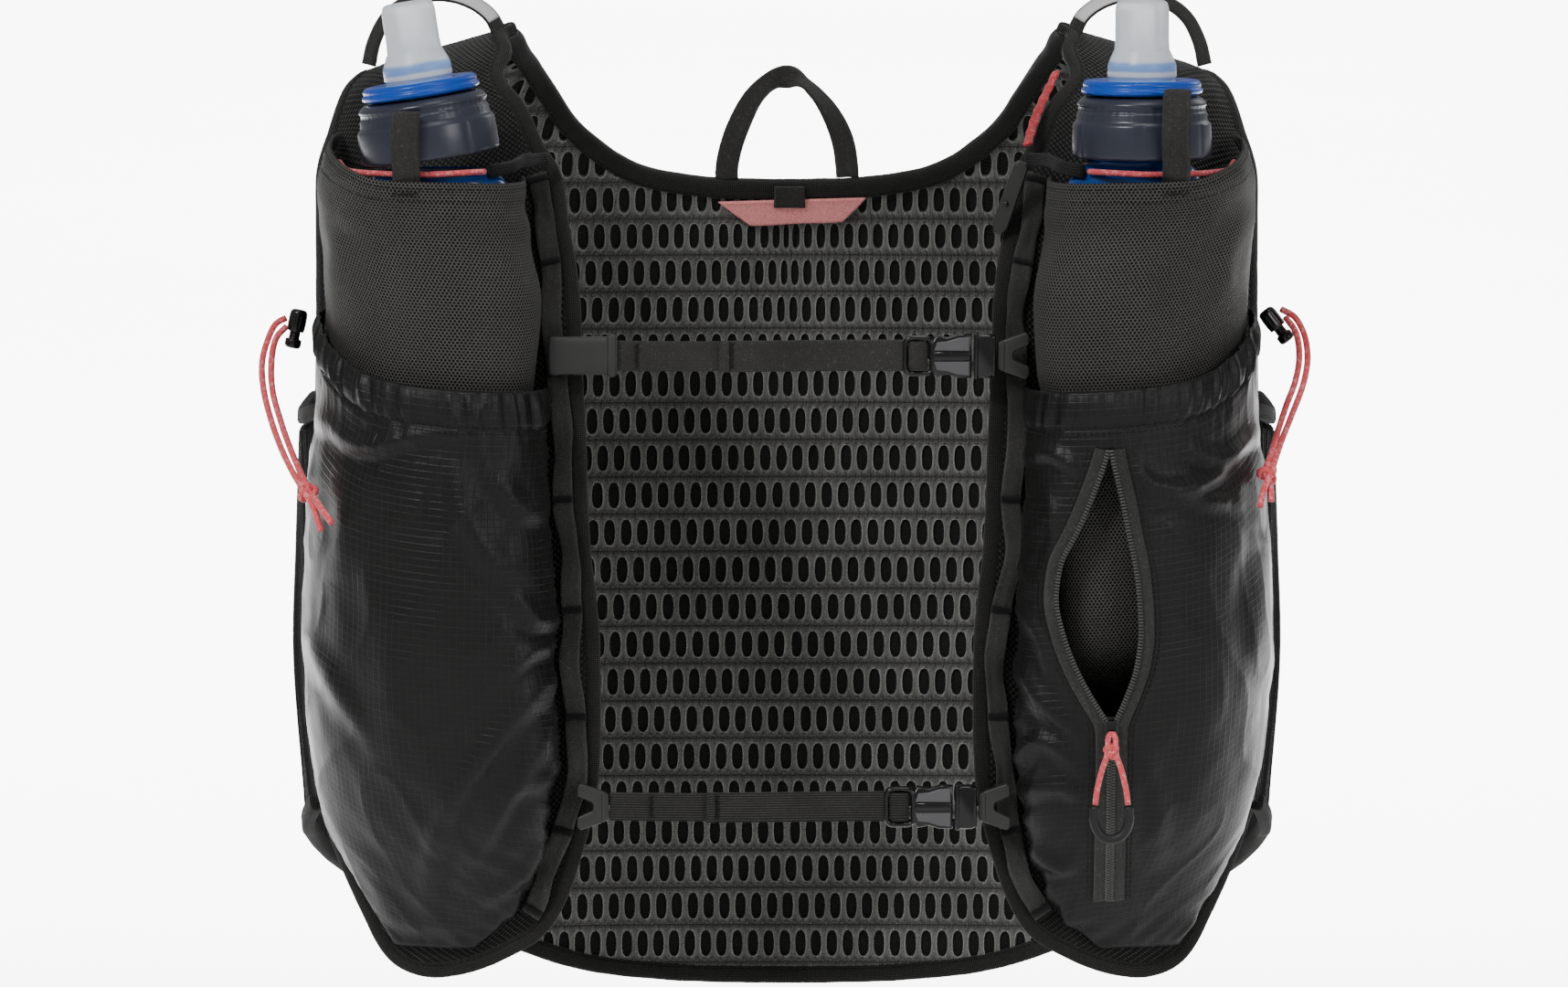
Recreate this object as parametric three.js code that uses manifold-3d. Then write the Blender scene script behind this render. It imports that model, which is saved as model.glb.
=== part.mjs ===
// Running hydration vest with two soft flasks, worn shape, millimetres, +Z up, front faces -Y.
// The origin is where the wearer's shoulders carry it: midway between the two shoulder straps.
// Suffix _r is the wearer's right (-X), _l the wearer's left (+X).
import * as THREE from 'three';
import { mergeVertices } from 'three/addons/utils/BufferGeometryUtils.js';
import Module from 'manifold-3d';

const wasm = await Module();
wasm.setup();

// ---------- driving dimensions ----------
const PANEL_T = 2.4;        // spacer mesh of the body panels
const POCKET_T = 1.2;       // pocket fabric
const BIND_W = 5.4;         // edge binding, across
const BIND_T = 3.4;         // edge binding, through
const GAP = 0.35;           // between sewn neighbours
const WEB_T = 1.3;          // webbing
const CHAIN_W = 6.4;        // daisy chain webbing
const STRAP_W = 11.0;       // chest straps
const CORD_D = 2.4;         // draw cords
const FLASK_X = 126.5, FLASK_Y = -101;
const LEAN_R = 8.7;         // the right flask leans outwards at the top, degrees

// The wearer's trunk, a superellipse at each height: half width a, half depth b, exponent n.
const TORSO = [
  { z: 12, a: 92, b: 8, n: 2.0 },
  { z: 9, a: 100, b: 14, n: 2.05 },
  { z: -9, a: 156, b: 40, n: 2.1 },
  { z: -15, a: 163, b: 46, n: 2.15 },
  { z: -26, a: 168, b: 56, n: 2.2 },
  { z: -45, a: 175, b: 69, n: 2.3 },
  { z: -84, a: 176, b: 86, n: 2.5 },
  { z: -121, a: 177, b: 92, n: 2.7 },
  { z: -181, a: 179, b: 96, n: 2.8 },
  { z: -213, a: 180, b: 96, n: 2.8 },
  { z: -275, a: 176, b: 94, n: 2.8 },
  { z: -360, a: 171, b: 90, n: 2.8 },
];
// Outlines on the trunk: phi is the turn from the middle of the back, 90 at the side, 180 in front.
const NECK = [
  { phi: 0, z: -51.2 }, { phi: 6, z: -50.6 }, { phi: 10, z: -49 }, { phi: 14, z: -46.5 },
  { phi: 17.5, z: -42 }, { phi: 22, z: -34 }, { phi: 25.5, z: -27 }, { phi: 30, z: -15 },
  { phi: 35, z: -7.5 }, { phi: 41, z: -2.6 }, { phi: 60, z: 5.6 }, { phi: 90, z: 9.3 },
];
const FRONT_EDGE = [
  { phi: 90, z: 9.3 }, { phi: 128, z: 1.4 }, { phi: 140, z: -9 }, { phi: 146, z: -16 },
  { phi: 151, z: -30 }, { phi: 155, z: -40 }, { phi: 157.5, z: -60 }, { phi: 159.2, z: -74 },
  { phi: 160.4, z: -88 }, { phi: 162.6, z: -124 }, { phi: 164.2, z: -173 }, { phi: 165.4, z: -206 },
  { phi: 165, z: -255 }, { phi: 163.8, z: -273 }, { phi: 162.6, z: -285 }, { phi: 160.2, z: -303 },
  { phi: 157, z: -315 }, { phi: 153, z: -321 },
];
const FRONT_BOTTOM = [
  { phi: 153, z: -321 }, { phi: 149, z: -325.5 }, { phi: 144, z: -329 }, { phi: 138, z: -330.4 },
  { phi: 132, z: -327.6 }, { phi: 127.5, z: -321 }, { phi: 124, z: -311 }, { phi: 117, z: -292 },
  { phi: 109.4, z: -271.5 },
];
const FRONT_OUTER = [
  { phi: 90, z: -9 }, { phi: 97, z: -14.5 }, { phi: 101, z: -27 }, { phi: 104, z: -45 },
  { phi: 107, z: -84 }, { phi: 109.4, z: -130 }, { phi: 109.4, z: -271.5 },
];
const BACK_OUTER = [
  { phi: 90, z: -9 }, { phi: 78, z: -14 }, { phi: 68, z: -30 }, { phi: 63, z: -60 },
  { phi: 66, z: -98 }, { phi: 75, z: -130 }, { phi: 75, z: -300 },
];
const ARM_FRONT = FRONT_OUTER.slice(0, 6), ARM_BACK = BACK_OUTER.slice(0, 6);
const ARM_BOTTOM = [{ phi: 75, z: -130 }, { phi: 84, z: -134 }, { phi: 96, z: -134.5 }, { phi: 109.4, z: -130 }];
const HEM = [
  { phi: 0, z: -354.2 }, { phi: 6, z: -353.6 }, { phi: 12, z: -352 }, { phi: 18, z: -349.5 },
  { phi: 25, z: -344 }, { phi: 29, z: -340 }, { phi: 45, z: -327 }, { phi: 60, z: -313 }, { phi: 75, z: -300 },
];
const SIDE_HEM = [{ phi: 75, z: -300 }, { phi: 92, z: -286 }, { phi: 109.4, z: -271.5 }];

// ---------- curves and tables ----------
function smooth(T, key, col, x) {
  const s = T[0][key] > T[T.length - 1][key] ? -1 : 1, n = T.length, X = i => s * T[i][key];
  x *= s;
  if (x <= X(0)) return T[0][col];
  if (x >= X(n - 1)) return T[n - 1][col];
  let k = 0; while (x > X(k + 1)) k++;
  const d = i => (T[i + 1][col] - T[i][col]) / (X(i + 1) - X(i));
  const m = i => { if (i === 0) return d(0); if (i === n - 1) return d(n - 2); const p = d(i - 1), q = d(i); return p * q <= 0 ? 0 : 2 * p * q / (p + q); };
  const h = X(k + 1) - X(k), t = (x - X(k)) / h;
  return T[k][col] * (1 + 2 * t) * (1 - t) ** 2 + h * m(k) * t * (1 - t) ** 2 + T[k + 1][col] * t * t * (3 - 2 * t) + h * m(k + 1) * t * t * (t - 1);
}
const V = (x, y, z) => new THREE.Vector3(x, y, z);
const RAD = Math.PI / 180;
function trunk(phi, z) {
  const a = smooth(TORSO, 'z', 'a', z), b = smooth(TORSO, 'z', 'b', z), n = smooth(TORSO, 'z', 'n', z);
  const s = Math.sin(phi * RAD), c = Math.cos(phi * RAD);
  return V(a * Math.sign(s) * Math.abs(s) ** (2 / n), b * Math.sign(c) * Math.abs(c) ** (2 / n), z);
}
function trunkNormal(phi, z) {
  const e = 0.6, du = trunk(phi + e, z).sub(trunk(phi - e, z)), dv = trunk(phi, z + e).sub(trunk(phi, z - e));
  return du.cross(dv).normalize().multiplyScalar(-1);
}
function onTrunk(p) {              // the nearest (phi, z) row to a point that lies close to the trunk
  const a = smooth(TORSO, 'z', 'a', p.z), b = smooth(TORSO, 'z', 'b', p.z), n = smooth(TORSO, 'z', 'n', p.z);
  const phi = Math.atan2(Math.sign(p.x) * Math.abs(p.x / a) ** (n / 2), Math.sign(p.y) * Math.abs(p.y / b) ** (n / 2)) / RAD;
  return { phi, z: p.z };
}
const flip = T => T.map(r => ({ phi: -r.phi, z: r.z }));
const rev = T => T.slice().reverse();
function curveOf(T) {              // smooth curve through table rows, sampled densely in 3-D
  const c = new THREE.CatmullRomCurve3(T.map(r => V(r.phi, r.z, 0)), false, 'centripetal');
  return c.getPoints(T.length * 10).map(q => ({ phi: q.x, z: q.y }));
}
function lengths(rows) {
  const L = [0];
  for (let i = 1; i < rows.length; i++) L.push(L[i - 1] + trunk(rows[i].phi, rows[i].z).distanceTo(trunk(rows[i - 1].phi, rows[i - 1].z)));
  return L;
}
function spread(rows, count) {     // even spacing along the trunk
  const L = lengths(rows), out = [];
  for (let i = 0; i <= count; i++) {
    const s = L[L.length - 1] * i / count; let k = 0;
    while (k < L.length - 2 && L[k + 1] < s) k++;
    const t = (s - L[k]) / Math.max(L[k + 1] - L[k], 1e-9);
    out.push({ phi: rows[k].phi + (rows[k + 1].phi - rows[k].phi) * t, z: rows[k].z + (rows[k + 1].z - rows[k].z) * t });
  }
  return out;
}
function inset(T, dist) {          // moves an outline sideways along the trunk (+ is left of its run, seen from outside)
  const rows = spread(curveOf(T), Math.max(12, T.length * 3)), P = rows.map(r => trunk(r.phi, r.z));
  return rows.map((r, i) => {
    const t = P[Math.min(i + 1, P.length - 1)].clone().sub(P[Math.max(i - 1, 0)]).normalize();
    const side = trunkNormal(r.phi, r.z).cross(t).normalize();
    return onTrunk(P[i].clone().addScaledVector(side, dist));
  });
}
const join = (...parts) => parts.flatMap((p, i) => i ? p.slice(1) : p);

// ---------- solids ----------
function solidFrom(points, tris) {
  const g = new THREE.BufferGeometry();
  g.setAttribute('position', new THREE.Float32BufferAttribute(points.flatMap(p => [p.x, p.y, p.z]), 3));
  g.setIndex(tris.flat());
  return g;
}
function thicken(points, faces, thick, normals) {      // a sheet given a wall; faces are quads or triangles
  const N = normals || points.map(() => V(0, 0, 0));
  if (!normals) for (const f of faces) {
    const n = points[f[2]].clone().sub(points[f[0]]).cross(points[f[f.length - 1]].clone().sub(points[f[1]]));
    if (f.length === 3) n.copy(points[f[1]].clone().sub(points[f[0]]).cross(points[f[2]].clone().sub(points[f[0]])));
    f.forEach(i => N[i].add(n));
  }
  N.forEach(n => n.normalize());
  const m = points.length, all = [], tris = [], edges = new Map();
  const T = i => typeof thick === 'function' ? thick(i) : thick;
  points.forEach((p, i) => all.push(p.clone().addScaledVector(N[i], T(i) / 2)));
  points.forEach((p, i) => all.push(p.clone().addScaledVector(N[i], -T(i) / 2)));
  const put = f => { for (let i = 1; i < f.length - 1; i++) tris.push([f[0], f[i], f[i + 1]]); };
  for (const f of faces) {
    put(f); put(f.map(i => i + m).reverse());
    f.forEach((a, i) => { const b = f[(i + 1) % f.length]; edges.set(a + '_' + b, [a, b]); });
  }
  for (const [a, b] of edges.values()) if (!edges.has(b + '_' + a)) put([b, a, a + m, b + m]);
  return solidFrom(all, tris);
}
function gridFaces(nu, nv) {
  const f = [], id = (i, j) => j * (nu + 1) + i;
  for (let j = 0; j < nv; j++) for (let i = 0; i < nu; i++) f.push([id(i, j), id(i + 1, j), id(i + 1, j + 1), id(i, j + 1)]);
  return f;
}
// Patch between four outlines given as rows: top and bottom run with u, left and right run with v (top to bottom).
function patchRows(top, bottom, left, right, nu, nv) {
  const T = spread(top, nu), B = spread(bottom, nu), L = spread(left, nv), R = spread(right, nv), out = [];
  for (let j = 0; j <= nv; j++) for (let i = 0; i <= nu; i++) {
    const u = i / nu, v = j / nv, mix = k => (1 - v) * T[i][k] + v * B[i][k] + (1 - u) * L[j][k] + u * R[j][k]
      - ((1 - u) * (1 - v) * T[0][k] + u * (1 - v) * T[nu][k] + (1 - u) * v * B[0][k] + u * v * B[nu][k]);
    out.push({ phi: mix('phi'), z: mix('z'), u, v });
  }
  return out;
}
function facing(geo) {             // turns the faces outwards if the volume came out negative
  const p = geo.attributes.position, ix = geo.index.array; let vol = 0;
  const a = V(), b = V(), c = V();
  for (let i = 0; i < ix.length; i += 3) { a.fromBufferAttribute(p, ix[i]); b.fromBufferAttribute(p, ix[i + 1]); c.fromBufferAttribute(p, ix[i + 2]); vol += a.dot(b.cross(c)); }
  if (vol < 0) for (let i = 0; i < ix.length; i += 3) { const t = ix[i]; ix[i] = ix[i + 2]; ix[i + 2] = t; }
  return geo;
}
function weld(geo) {
  const g = geo.clone(); g.deleteAttribute('normal'); g.deleteAttribute('uv');
  return mergeVertices(g, 1e-4);
}
function toSolid(geo) {
  const g = facing(weld(geo));
  return new wasm.Manifold(new wasm.Mesh({ numProp: 3, vertProperties: new Float32Array(g.attributes.position.array), triVerts: new Uint32Array(g.index.array) }));
}
function fromSolid(m) {
  const q = m.getMesh(), g = new THREE.BufferGeometry();
  g.setAttribute('position', new THREE.BufferAttribute(new Float32Array(q.vertProperties), 3));
  g.setIndex(new THREE.BufferAttribute(new Uint32Array(q.triVerts), 1));
  return g;
}
const cut = (a, ...bs) => fromSolid(bs.reduce((m, b) => m.subtract(toSolid(b)), toSolid(a)));
// Cuts neighbours away and keeps the largest body that is left.
function trim(a, ...bs) {
  const m = bs.reduce((q, b) => q.subtract(toSolid(b)), toSolid(a));
  return fromSolid(m.decompose().sort((p, q) => q.volume() - p.volume())[0]);
}
const fuse = (...gs) => fromSolid(gs.slice(1).reduce((m, b) => m.add(toSolid(b)), toSolid(gs[0])));
// A band with a flat section along points; across[i] is its width direction, face[i] its outward one.
function band(points, across, face, width, thick, bevel = 0.28) {
  const ring = [[-1, -bevel], [-1 + bevel * 0.6, -1], [1 - bevel * 0.6, -1], [1, -bevel], [1, bevel], [1 - bevel * 0.6, 1], [-1 + bevel * 0.6, 1], [-1, bevel]];
  const simple = [[-1, -1], [1, -1], [1, 1], [-1, 1]], R = bevel > 0 ? ring.filter((_, i) => i % 1 === 0) : simple;
  const all = [], tris = [], k = R.length;
  points.forEach((p, i) => R.forEach(([s, t]) => all.push(p.clone().addScaledVector(across[i], s * width / 2).addScaledVector(face[i], t * thick / 2))));
  for (let i = 0; i + 1 < points.length; i++) for (let j = 0; j < k; j++) {
    const a = i * k + j, b = i * k + (j + 1) % k; tris.push([a, b, b + k], [a, b + k, a + k]);
  }
  const e = (points.length - 1) * k;
  for (let j = 1; j < k - 1; j++) { tris.push([0, j + 1, j]); tris.push([e, e + j, e + j + 1]); }
  return facing(solidFrom(all, tris));
}
function ringBand(points, across, face, width, thick) {           // the same, closed on itself
  const R = [[-1, -1], [1, -1], [1, 1], [-1, 1]], k = R.length, n = points.length, all = [], tris = [];
  points.forEach((p, i) => R.forEach(([s, t]) => all.push(p.clone().addScaledVector(across[i], s * width / 2).addScaledVector(face[i], t * thick / 2))));
  for (let i = 0; i < n; i++) for (let j = 0; j < k; j++) {
    const a = i * k + j, b = i * k + (j + 1) % k, c = ((i + 1) % n) * k + j, d = ((i + 1) % n) * k + (j + 1) % k;
    tris.push([a, b, d], [a, d, c]);
  }
  return facing(solidFrom(all, tris));
}
function edgeBand(rows, count, width, thick, lift, closed = false, shift = 0) {  // a band that lies on the trunk
  let R = spread(rows, count); if (closed) R = R.slice(0, -1);
  const n = R.length, P = R.map(r => trunk(r.phi, r.z)), F = R.map(r => trunkNormal(r.phi, r.z));
  const A = R.map((r, i) => {
    const t = P[closed ? (i + 1) % n : Math.min(i + 1, n - 1)].clone().sub(P[closed ? (i + n - 1) % n : Math.max(i - 1, 0)]).normalize();
    return F[i].clone().cross(t).normalize();
  });
  P.forEach((p, i) => p.addScaledVector(F[i], lift).addScaledVector(A[i], shift));
  return (closed ? ringBand : band)(P, A, F, width, thick, 0);
}
function tube(points, dia, steps, sides = 8) {
  const curve = new THREE.CatmullRomCurve3(points, false, 'centripetal');
  const s = new THREE.Shape();
  for (let i = 0; i < sides; i++) { const a = i / sides * 2 * Math.PI; s[i ? 'lineTo' : 'moveTo'](Math.cos(a) * dia / 2, Math.sin(a) * dia / 2); }
  s.closePath();
  return new THREE.ExtrudeGeometry(s, { steps, extrudePath: curve, curveSegments: 1 });
}
function lathe(profile, segments = 20) { return fromSolid(toSolid(new THREE.LatheGeometry(profile.map(r => new THREE.Vector2(r.r, r.h)), segments).rotateX(Math.PI / 2))); }
function plate(outline, depth, bevel = 0) {            // an outline in x and z, with its depth along y
  const s = new THREE.Shape(outline.map(r => new THREE.Vector2(r.x, r.z)));
  const g = new THREE.ExtrudeGeometry(s, { depth: depth - 2 * bevel, bevelEnabled: bevel > 0, bevelThickness: bevel, bevelSize: bevel, bevelOffset: -bevel, bevelSegments: 1, curveSegments: 4 });
  return g.translate(0, 0, -(depth / 2 - bevel)).rotateX(Math.PI / 2);
}
const rect = (w, h, r = 1) => [{ x: -w / 2 + r, z: -h / 2 }, { x: w / 2 - r, z: -h / 2 }, { x: w / 2, z: -h / 2 + r }, { x: w / 2, z: h / 2 - r }, { x: w / 2 - r, z: h / 2 }, { x: -w / 2 + r, z: h / 2 }, { x: -w / 2, z: h / 2 - r }, { x: -w / 2, z: -h / 2 + r }];

// Zip of the left lower pocket, seen from the front: the open lens, then the closed tail.
const ZIP_LENS = [
  { z: -135.2, left: 114.2, right: 114.6 }, { z: -143, left: 111.6, right: 116.4 }, { z: -154.5, left: 107.4, right: 119 },
  { z: -166, left: 102.4, right: 121.2 }, { z: -175, left: 97.9, right: 123.1 }, { z: -188, left: 96.3, right: 124.7 },
  { z: -200, left: 98.6, right: 125.2 }, { z: -212, left: 102.9, right: 123.8 }, { z: -223, left: 108.6, right: 120.2 }, { z: -231.5, left: 113.8, right: 116.6 },
];
const ZIP_TAPE_W = 4.4, ZIP_MID = 115.4, ZIP_SLIDER_Z = -235.5;
const ZIP_TAIL = { left: 108.4, right: 121, bottom: -300 };
// Soft flask: below the cap's top face. Bag: half width, half depth, height.
const CAP_TOP = -10.6;
const FLASK_BAG = [
  { h: -22.4, w: 17, d: 13 }, { h: -28, w: 22.5, d: 15 }, { h: -36, w: 26.5, d: 15.4 }, { h: -55, w: 28.5, d: 15 }, { h: -85, w: 29.5, d: 14 },
  { h: -130, w: 29.5, d: 13.2 }, { h: -170, w: 28.5, d: 12 }, { h: -188, w: 26, d: 8.5 }, { h: -196, w: 21, d: 4.5 },
];
const PULL_X = { r: -134.8, l: 138 };
const PULL_TOP = { r: -15.6, l: -8 };
const CORD_LOCK = { r: { x: -177.4, y: -49, z: -97, tiltX: 0, tiltY: 12 }, l: { x: 176.8, y: -48, z: -96, tiltX: 0, tiltY: -38 } };
const DRAWCORD = {
  r: {
    outer: [{ x: -181, y: -49, z: -93.6 }, { x: -184.6, y: -50, z: -95.6 }, { x: -187.6, y: -53, z: -101.5 }, { x: -189.4, y: -58, z: -109.5 }, { x: -188.4, y: -65, z: -119 }, { x: -185.2, y: -74, z: -129.5 }, { x: -180.6, y: -86, z: -139.5 }, { x: -176, y: -96, z: -147 }],
    inner: [{ x: -180.9, y: -51, z: -96.6 }, { x: -184.4, y: -53.5, z: -100.5 }, { x: -186, y: -57, z: -108.6 }, { x: -185.4, y: -63.5, z: -118.6 }, { x: -182, y: -73, z: -129.2 }, { x: -177.8, y: -86, z: -138.5 }, { x: -173.6, y: -97, z: -146.4 }],
    knot: { x: -171.4, y: -103, z: -151.8 },
    tails: [[{ x: -171.4, y: -103, z: -151.8 }, { x: -169, y: -108.5, z: -157 }, { x: -166, y: -113.5, z: -165 }], [{ x: -171.4, y: -103, z: -151.8 }, { x: -166.8, y: -111, z: -156 }, { x: -162, y: -117.5, z: -162 }]],
  },
  l: {
    outer: [{ x: 178.6, y: -49, z: -90.4 }, { x: 183.4, y: -50.5, z: -93 }, { x: 187, y: -54, z: -99.5 }, { x: 187.9, y: -59, z: -108 }, { x: 186, y: -66, z: -116.5 }, { x: 182, y: -75, z: -125.6 }, { x: 178, y: -84, z: -134 }, { x: 175.2, y: -92, z: -140.5 }],
    inner: [{ x: 180.2, y: -51.6, z: -93.2 }, { x: 183.8, y: -55, z: -98.4 }, { x: 184.9, y: -59.5, z: -106.8 }, { x: 183.2, y: -66, z: -115.2 }, { x: 179.6, y: -74, z: -123.4 }, { x: 176, y: -83, z: -132.6 }, { x: 173.2, y: -92.5, z: -140 }],
    knot: { x: 172, y: -98.5, z: -146 },
    tails: [[{ x: 172, y: -98.5, z: -146 }, { x: 170.4, y: -103.5, z: -151 }, { x: 168.8, y: -107.5, z: -157 }], [{ x: 172, y: -98.5, z: -146 }, { x: 172.8, y: -101, z: -150.6 }, { x: 173, y: -103, z: -155.4 }]],
  },
};
const HOOK = [{ x: 0, z: -4 }, { x: 2.6, z: -5.4 }, { x: 10.8, z: -8.4 }, { x: 11.3, z: -5.4 }, { x: 6, z: -1.6 }, { x: 6, z: 1.6 }, { x: 11.3, z: 5.4 }, { x: 10.8, z: 8.4 }, { x: 2.6, z: 5.4 }, { x: 0, z: 4 }];
const STRAPS = {
  upper: { name: 'upper', y: -97.5, z: -103.7, from: -84.2, to: 41.2 },
  lower: { name: 'lower', y: -101.5, z: -265.3, from: -63.4, to: 34.6, hookR: -63.8 },
};
// Hang loop: place and turn of its flat face about the upright.
const HANG_LOOP = [
  { x: -22.3, y: 71.6, z: -46.6, turn: 0 }, { x: -20.6, y: 71.6, z: -38, turn: 4 }, { x: -16.8, y: 71.6, z: -28, turn: 18 }, { x: -11.4, y: 71.6, z: -18.6, turn: 50 },
  { x: -4.4, y: 71.6, z: -12.4, turn: 84 }, { x: 3.2, y: 71.6, z: -12.4, turn: 96 }, { x: 10.2, y: 71.6, z: -17.6, turn: 130 },
  { x: 16.4, y: 71.6, z: -26, turn: 162 }, { x: 20.8, y: 71.6, z: -36, turn: 176 }, { x: 22.4, y: 71.6, z: -45.8, turn: 180 },
];
const LANYARD = [{ x: 97.6, y: -31, z: -5.6 }, { x: 94.6, y: -38, z: -11.5 }, { x: 91.6, y: -46.4, z: -17.2 }, { x: 88.6, y: -56, z: -24 }, { x: 86.6, y: -66, z: -30 }];

// ---------- the scene graph ----------
const group = new THREE.Group();
const LOOK = {
  mesh: { color: 0x383837, roughness: 0.85 }, binding: { color: 0x262625, roughness: 0.9 }, power: { color: 0x32312f, roughness: 0.8 },
  nylon: { color: 0x222221, roughness: 0.45 }, webbing: { color: 0x2e2e2d, roughness: 0.75 }, gloss: { color: 0x151515, roughness: 0.3 },
  satin: { color: 0x2d2d2c, roughness: 0.5 }, rubber: { color: 0x2a2a2a, roughness: 0.6 }, cord: { color: 0xf07074, roughness: 0.7 },
  label: { color: 0xff8c8c, roughness: 0.7 }, blue: { color: 0x0078dc, roughness: 0.3 }, flask: { color: 0x004b96, roughness: 0.2 },
  cap: { color: 0x4b4e5c, roughness: 0.3 }, valve: { color: 0xd7dee4, roughness: 0.35 }, knit: { color: 0x1c1c1c, roughness: 0.9 },
};
function add(name, geo, look, parent = group) {
  const m = new THREE.Mesh(geo, new THREE.MeshStandardMaterial({ metalness: 0, ...LOOK[look] }));
  m.name = name; parent.add(m); return m;
}
const sideName = s => s < 0 ? 'r' : 'l';
const sided = (T, s) => s < 0 ? flip(T) : T;

// Bindings lie along the outlines; the room that each one takes is wider, out past the edge.
const ROOM = 14, ROOM_OUT = ROOM / 2 - BIND_W / 2 - 0.6;
const clampPhi = (rows, lo, hi) => rows.map(r => ({ phi: Math.min(Math.max(r.phi, lo), hi), z: r.z }));
const neckRun = dist => { const l = inset(NECK, dist); return join(rev(flip(clampPhi(l, 0, 86.5))), clampPhi(l, 0, 86.5)); };
const hemRun = dist => { const l = join(inset(HEM, -dist), inset(SIDE_HEM, -dist)).filter(r => r.phi < 108.4 && r.phi >= 0); return join(rev(flip(l)), l); };
const frontRun = (dist, s) => {
  const a = clampPhi(inset(FRONT_EDGE, dist).slice(0, -1), 93.5, 180), b = inset(FRONT_BOTTOM, dist).slice(1).filter(r => r.phi > 110.8);
  return sided(a.concat(b), s);
};
const armRun = (dist, s) => {
  const loop = join(inset(ARM_FRONT, -dist), rev(inset(ARM_BOTTOM, -dist)).slice(1, -1), rev(inset(ARM_BACK, dist)));
  loop.push(loop[0]);
  return sided(loop, s);
};
const neckBand = (w, t, out) => edgeBand(neckRun(BIND_W / 2), 28, w, t, 0, false, -out);
const hemBand = (w, t, out) => edgeBand(hemRun(BIND_W / 2), 28, w, t, 0, false, out);
const armBand = (s, w, t, out) => edgeBand(armRun(BIND_W / 2, s), 28, w, t, 0, true, s * out);
const frontBand = (s, w, t, out) => edgeBand(frontRun(BIND_W / 2, s), 34, w, t, 0, false, -s * out);
const neckRoom = neckBand(ROOM, 10, ROOM_OUT), hemRoom = hemBand(ROOM, 10, ROOM_OUT);
const armRoom = s => armBand(s, ROOM - 4, 10, ROOM_OUT - 2), frontRoom = s => frontBand(s, ROOM, 10, ROOM_OUT);

// Back panel: one piece of spacer mesh from hem to neck, with a strap over each shoulder.
{
  const d = BIND_W * 0.6;
  const neck = inset(NECK, d), ridge = [{ phi: 87.6, z: neck[neck.length - 1].z }, { phi: 87.6, z: -5.6 }];
  const outerArm = inset(rev(ARM_BACK), d), hem = inset(HEM, -d);
  const nu = 8, nv = 12;
  neck[0].phi = 0; hem[0].phi = 0;
  neck[neck.length - 1] = ridge[0];
  const seam = [{ phi: 75 - 0.12, z: -136 }, { phi: 75 - 0.12, z: hem[hem.length - 1].z }];
  const arm = rev(outerArm).filter(r => r.z > -128); arm[0] = ridge[1];
  const right = join(arm, [arm[arm.length - 1], seam[0]], seam);
  hem[hem.length - 1] = seam[1];
  const half = patchRows(join(neck, ridge), hem, [neck[0], hem[0]], right, nu, nv);
  const pts = [];
  for (let j = 0; j <= nv; j++) {
    const row = half.slice(j * (nu + 1), (j + 1) * (nu + 1));
    for (let i = nu; i > 0; i--) pts.push(trunk(-row[i].phi, row[i].z));
    for (let i = 0; i <= nu; i++) pts.push(trunk(row[i].phi, row[i].z));
  }
  add('back_panel', trim(thicken(pts, gridFaces(2 * nu, nv), PANEL_T), neckRoom, hemRoom, armRoom(-1), armRoom(1)), 'mesh');
}
add('neck_binding', neckBand(BIND_W, BIND_T, 0), 'binding');
add('back_hem_binding', hemBand(BIND_W, BIND_T, 0), 'binding');

// Pockets: a sheet that leaves the front panel at its edges and stands off it in between.
const POCKET_LIFT = PANEL_T / 2 + GAP + POCKET_T / 2 + 0.2;
const FLASK_POCKET = [     // each height: outer edge and inner edge, stand-off in the middle
  { z: -40, outer: 109.8, inner: 150, deep: 80 },
  { z: -62, outer: 112, inner: 152, deep: 64 },
  { z: -85, outer: 115, inner: 155, deep: 55 },
  { z: -120, outer: 117.5, inner: 156.1, deep: 46 },
  { z: -170, outer: 117, inner: 156.6, deep: 43 },
  { z: -205, outer: 117.5, inner: 156.2, deep: 37 },
  { z: -228, outer: 119, inner: 154, deep: 16 },
];
const FLASK_HEM = [        // the pocket's top edge: how far it dips below z = -40, across
  { u: 0, drop: -9 }, { u: 0.2, drop: -1.5 }, { u: 0.45, drop: 3 }, { u: 0.75, drop: 4 }, { u: 1, drop: 4.5 },
];
const LOWER_POCKET = [
  { z: -100, outer: 112.6, inner: 156.6, deep: 58 },
  { z: -121, outer: 113.6, inner: 157.7, deep: 56 },
  { z: -138, outer: 112.4, inner: 158.3, deep: 54 },
  { z: -152, outer: 110.5, inner: 158.8, deep: 53 },
  { z: -200, outer: 110.5, inner: 160.2, deep: 50 },
  { z: -240, outer: 110.7, inner: 160.2, deep: 42 },
  { z: -268, outer: 113, inner: 158.8, deep: 32 },
  { z: -290, outer: 121, inner: 156.6, deep: 19 },
  { z: -305, outer: 127, inner: 153.6, deep: 10 },
  { z: -318.5, outer: 132, inner: 147, deep: 2 },
];
const LOWER_HEM = [
  { u: 0, drop: -9 }, { u: 0.18, drop: 2 }, { u: 0.4, drop: 10 }, { u: 0.7, drop: 13.5 }, { u: 1, drop: 15 },
];
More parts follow.
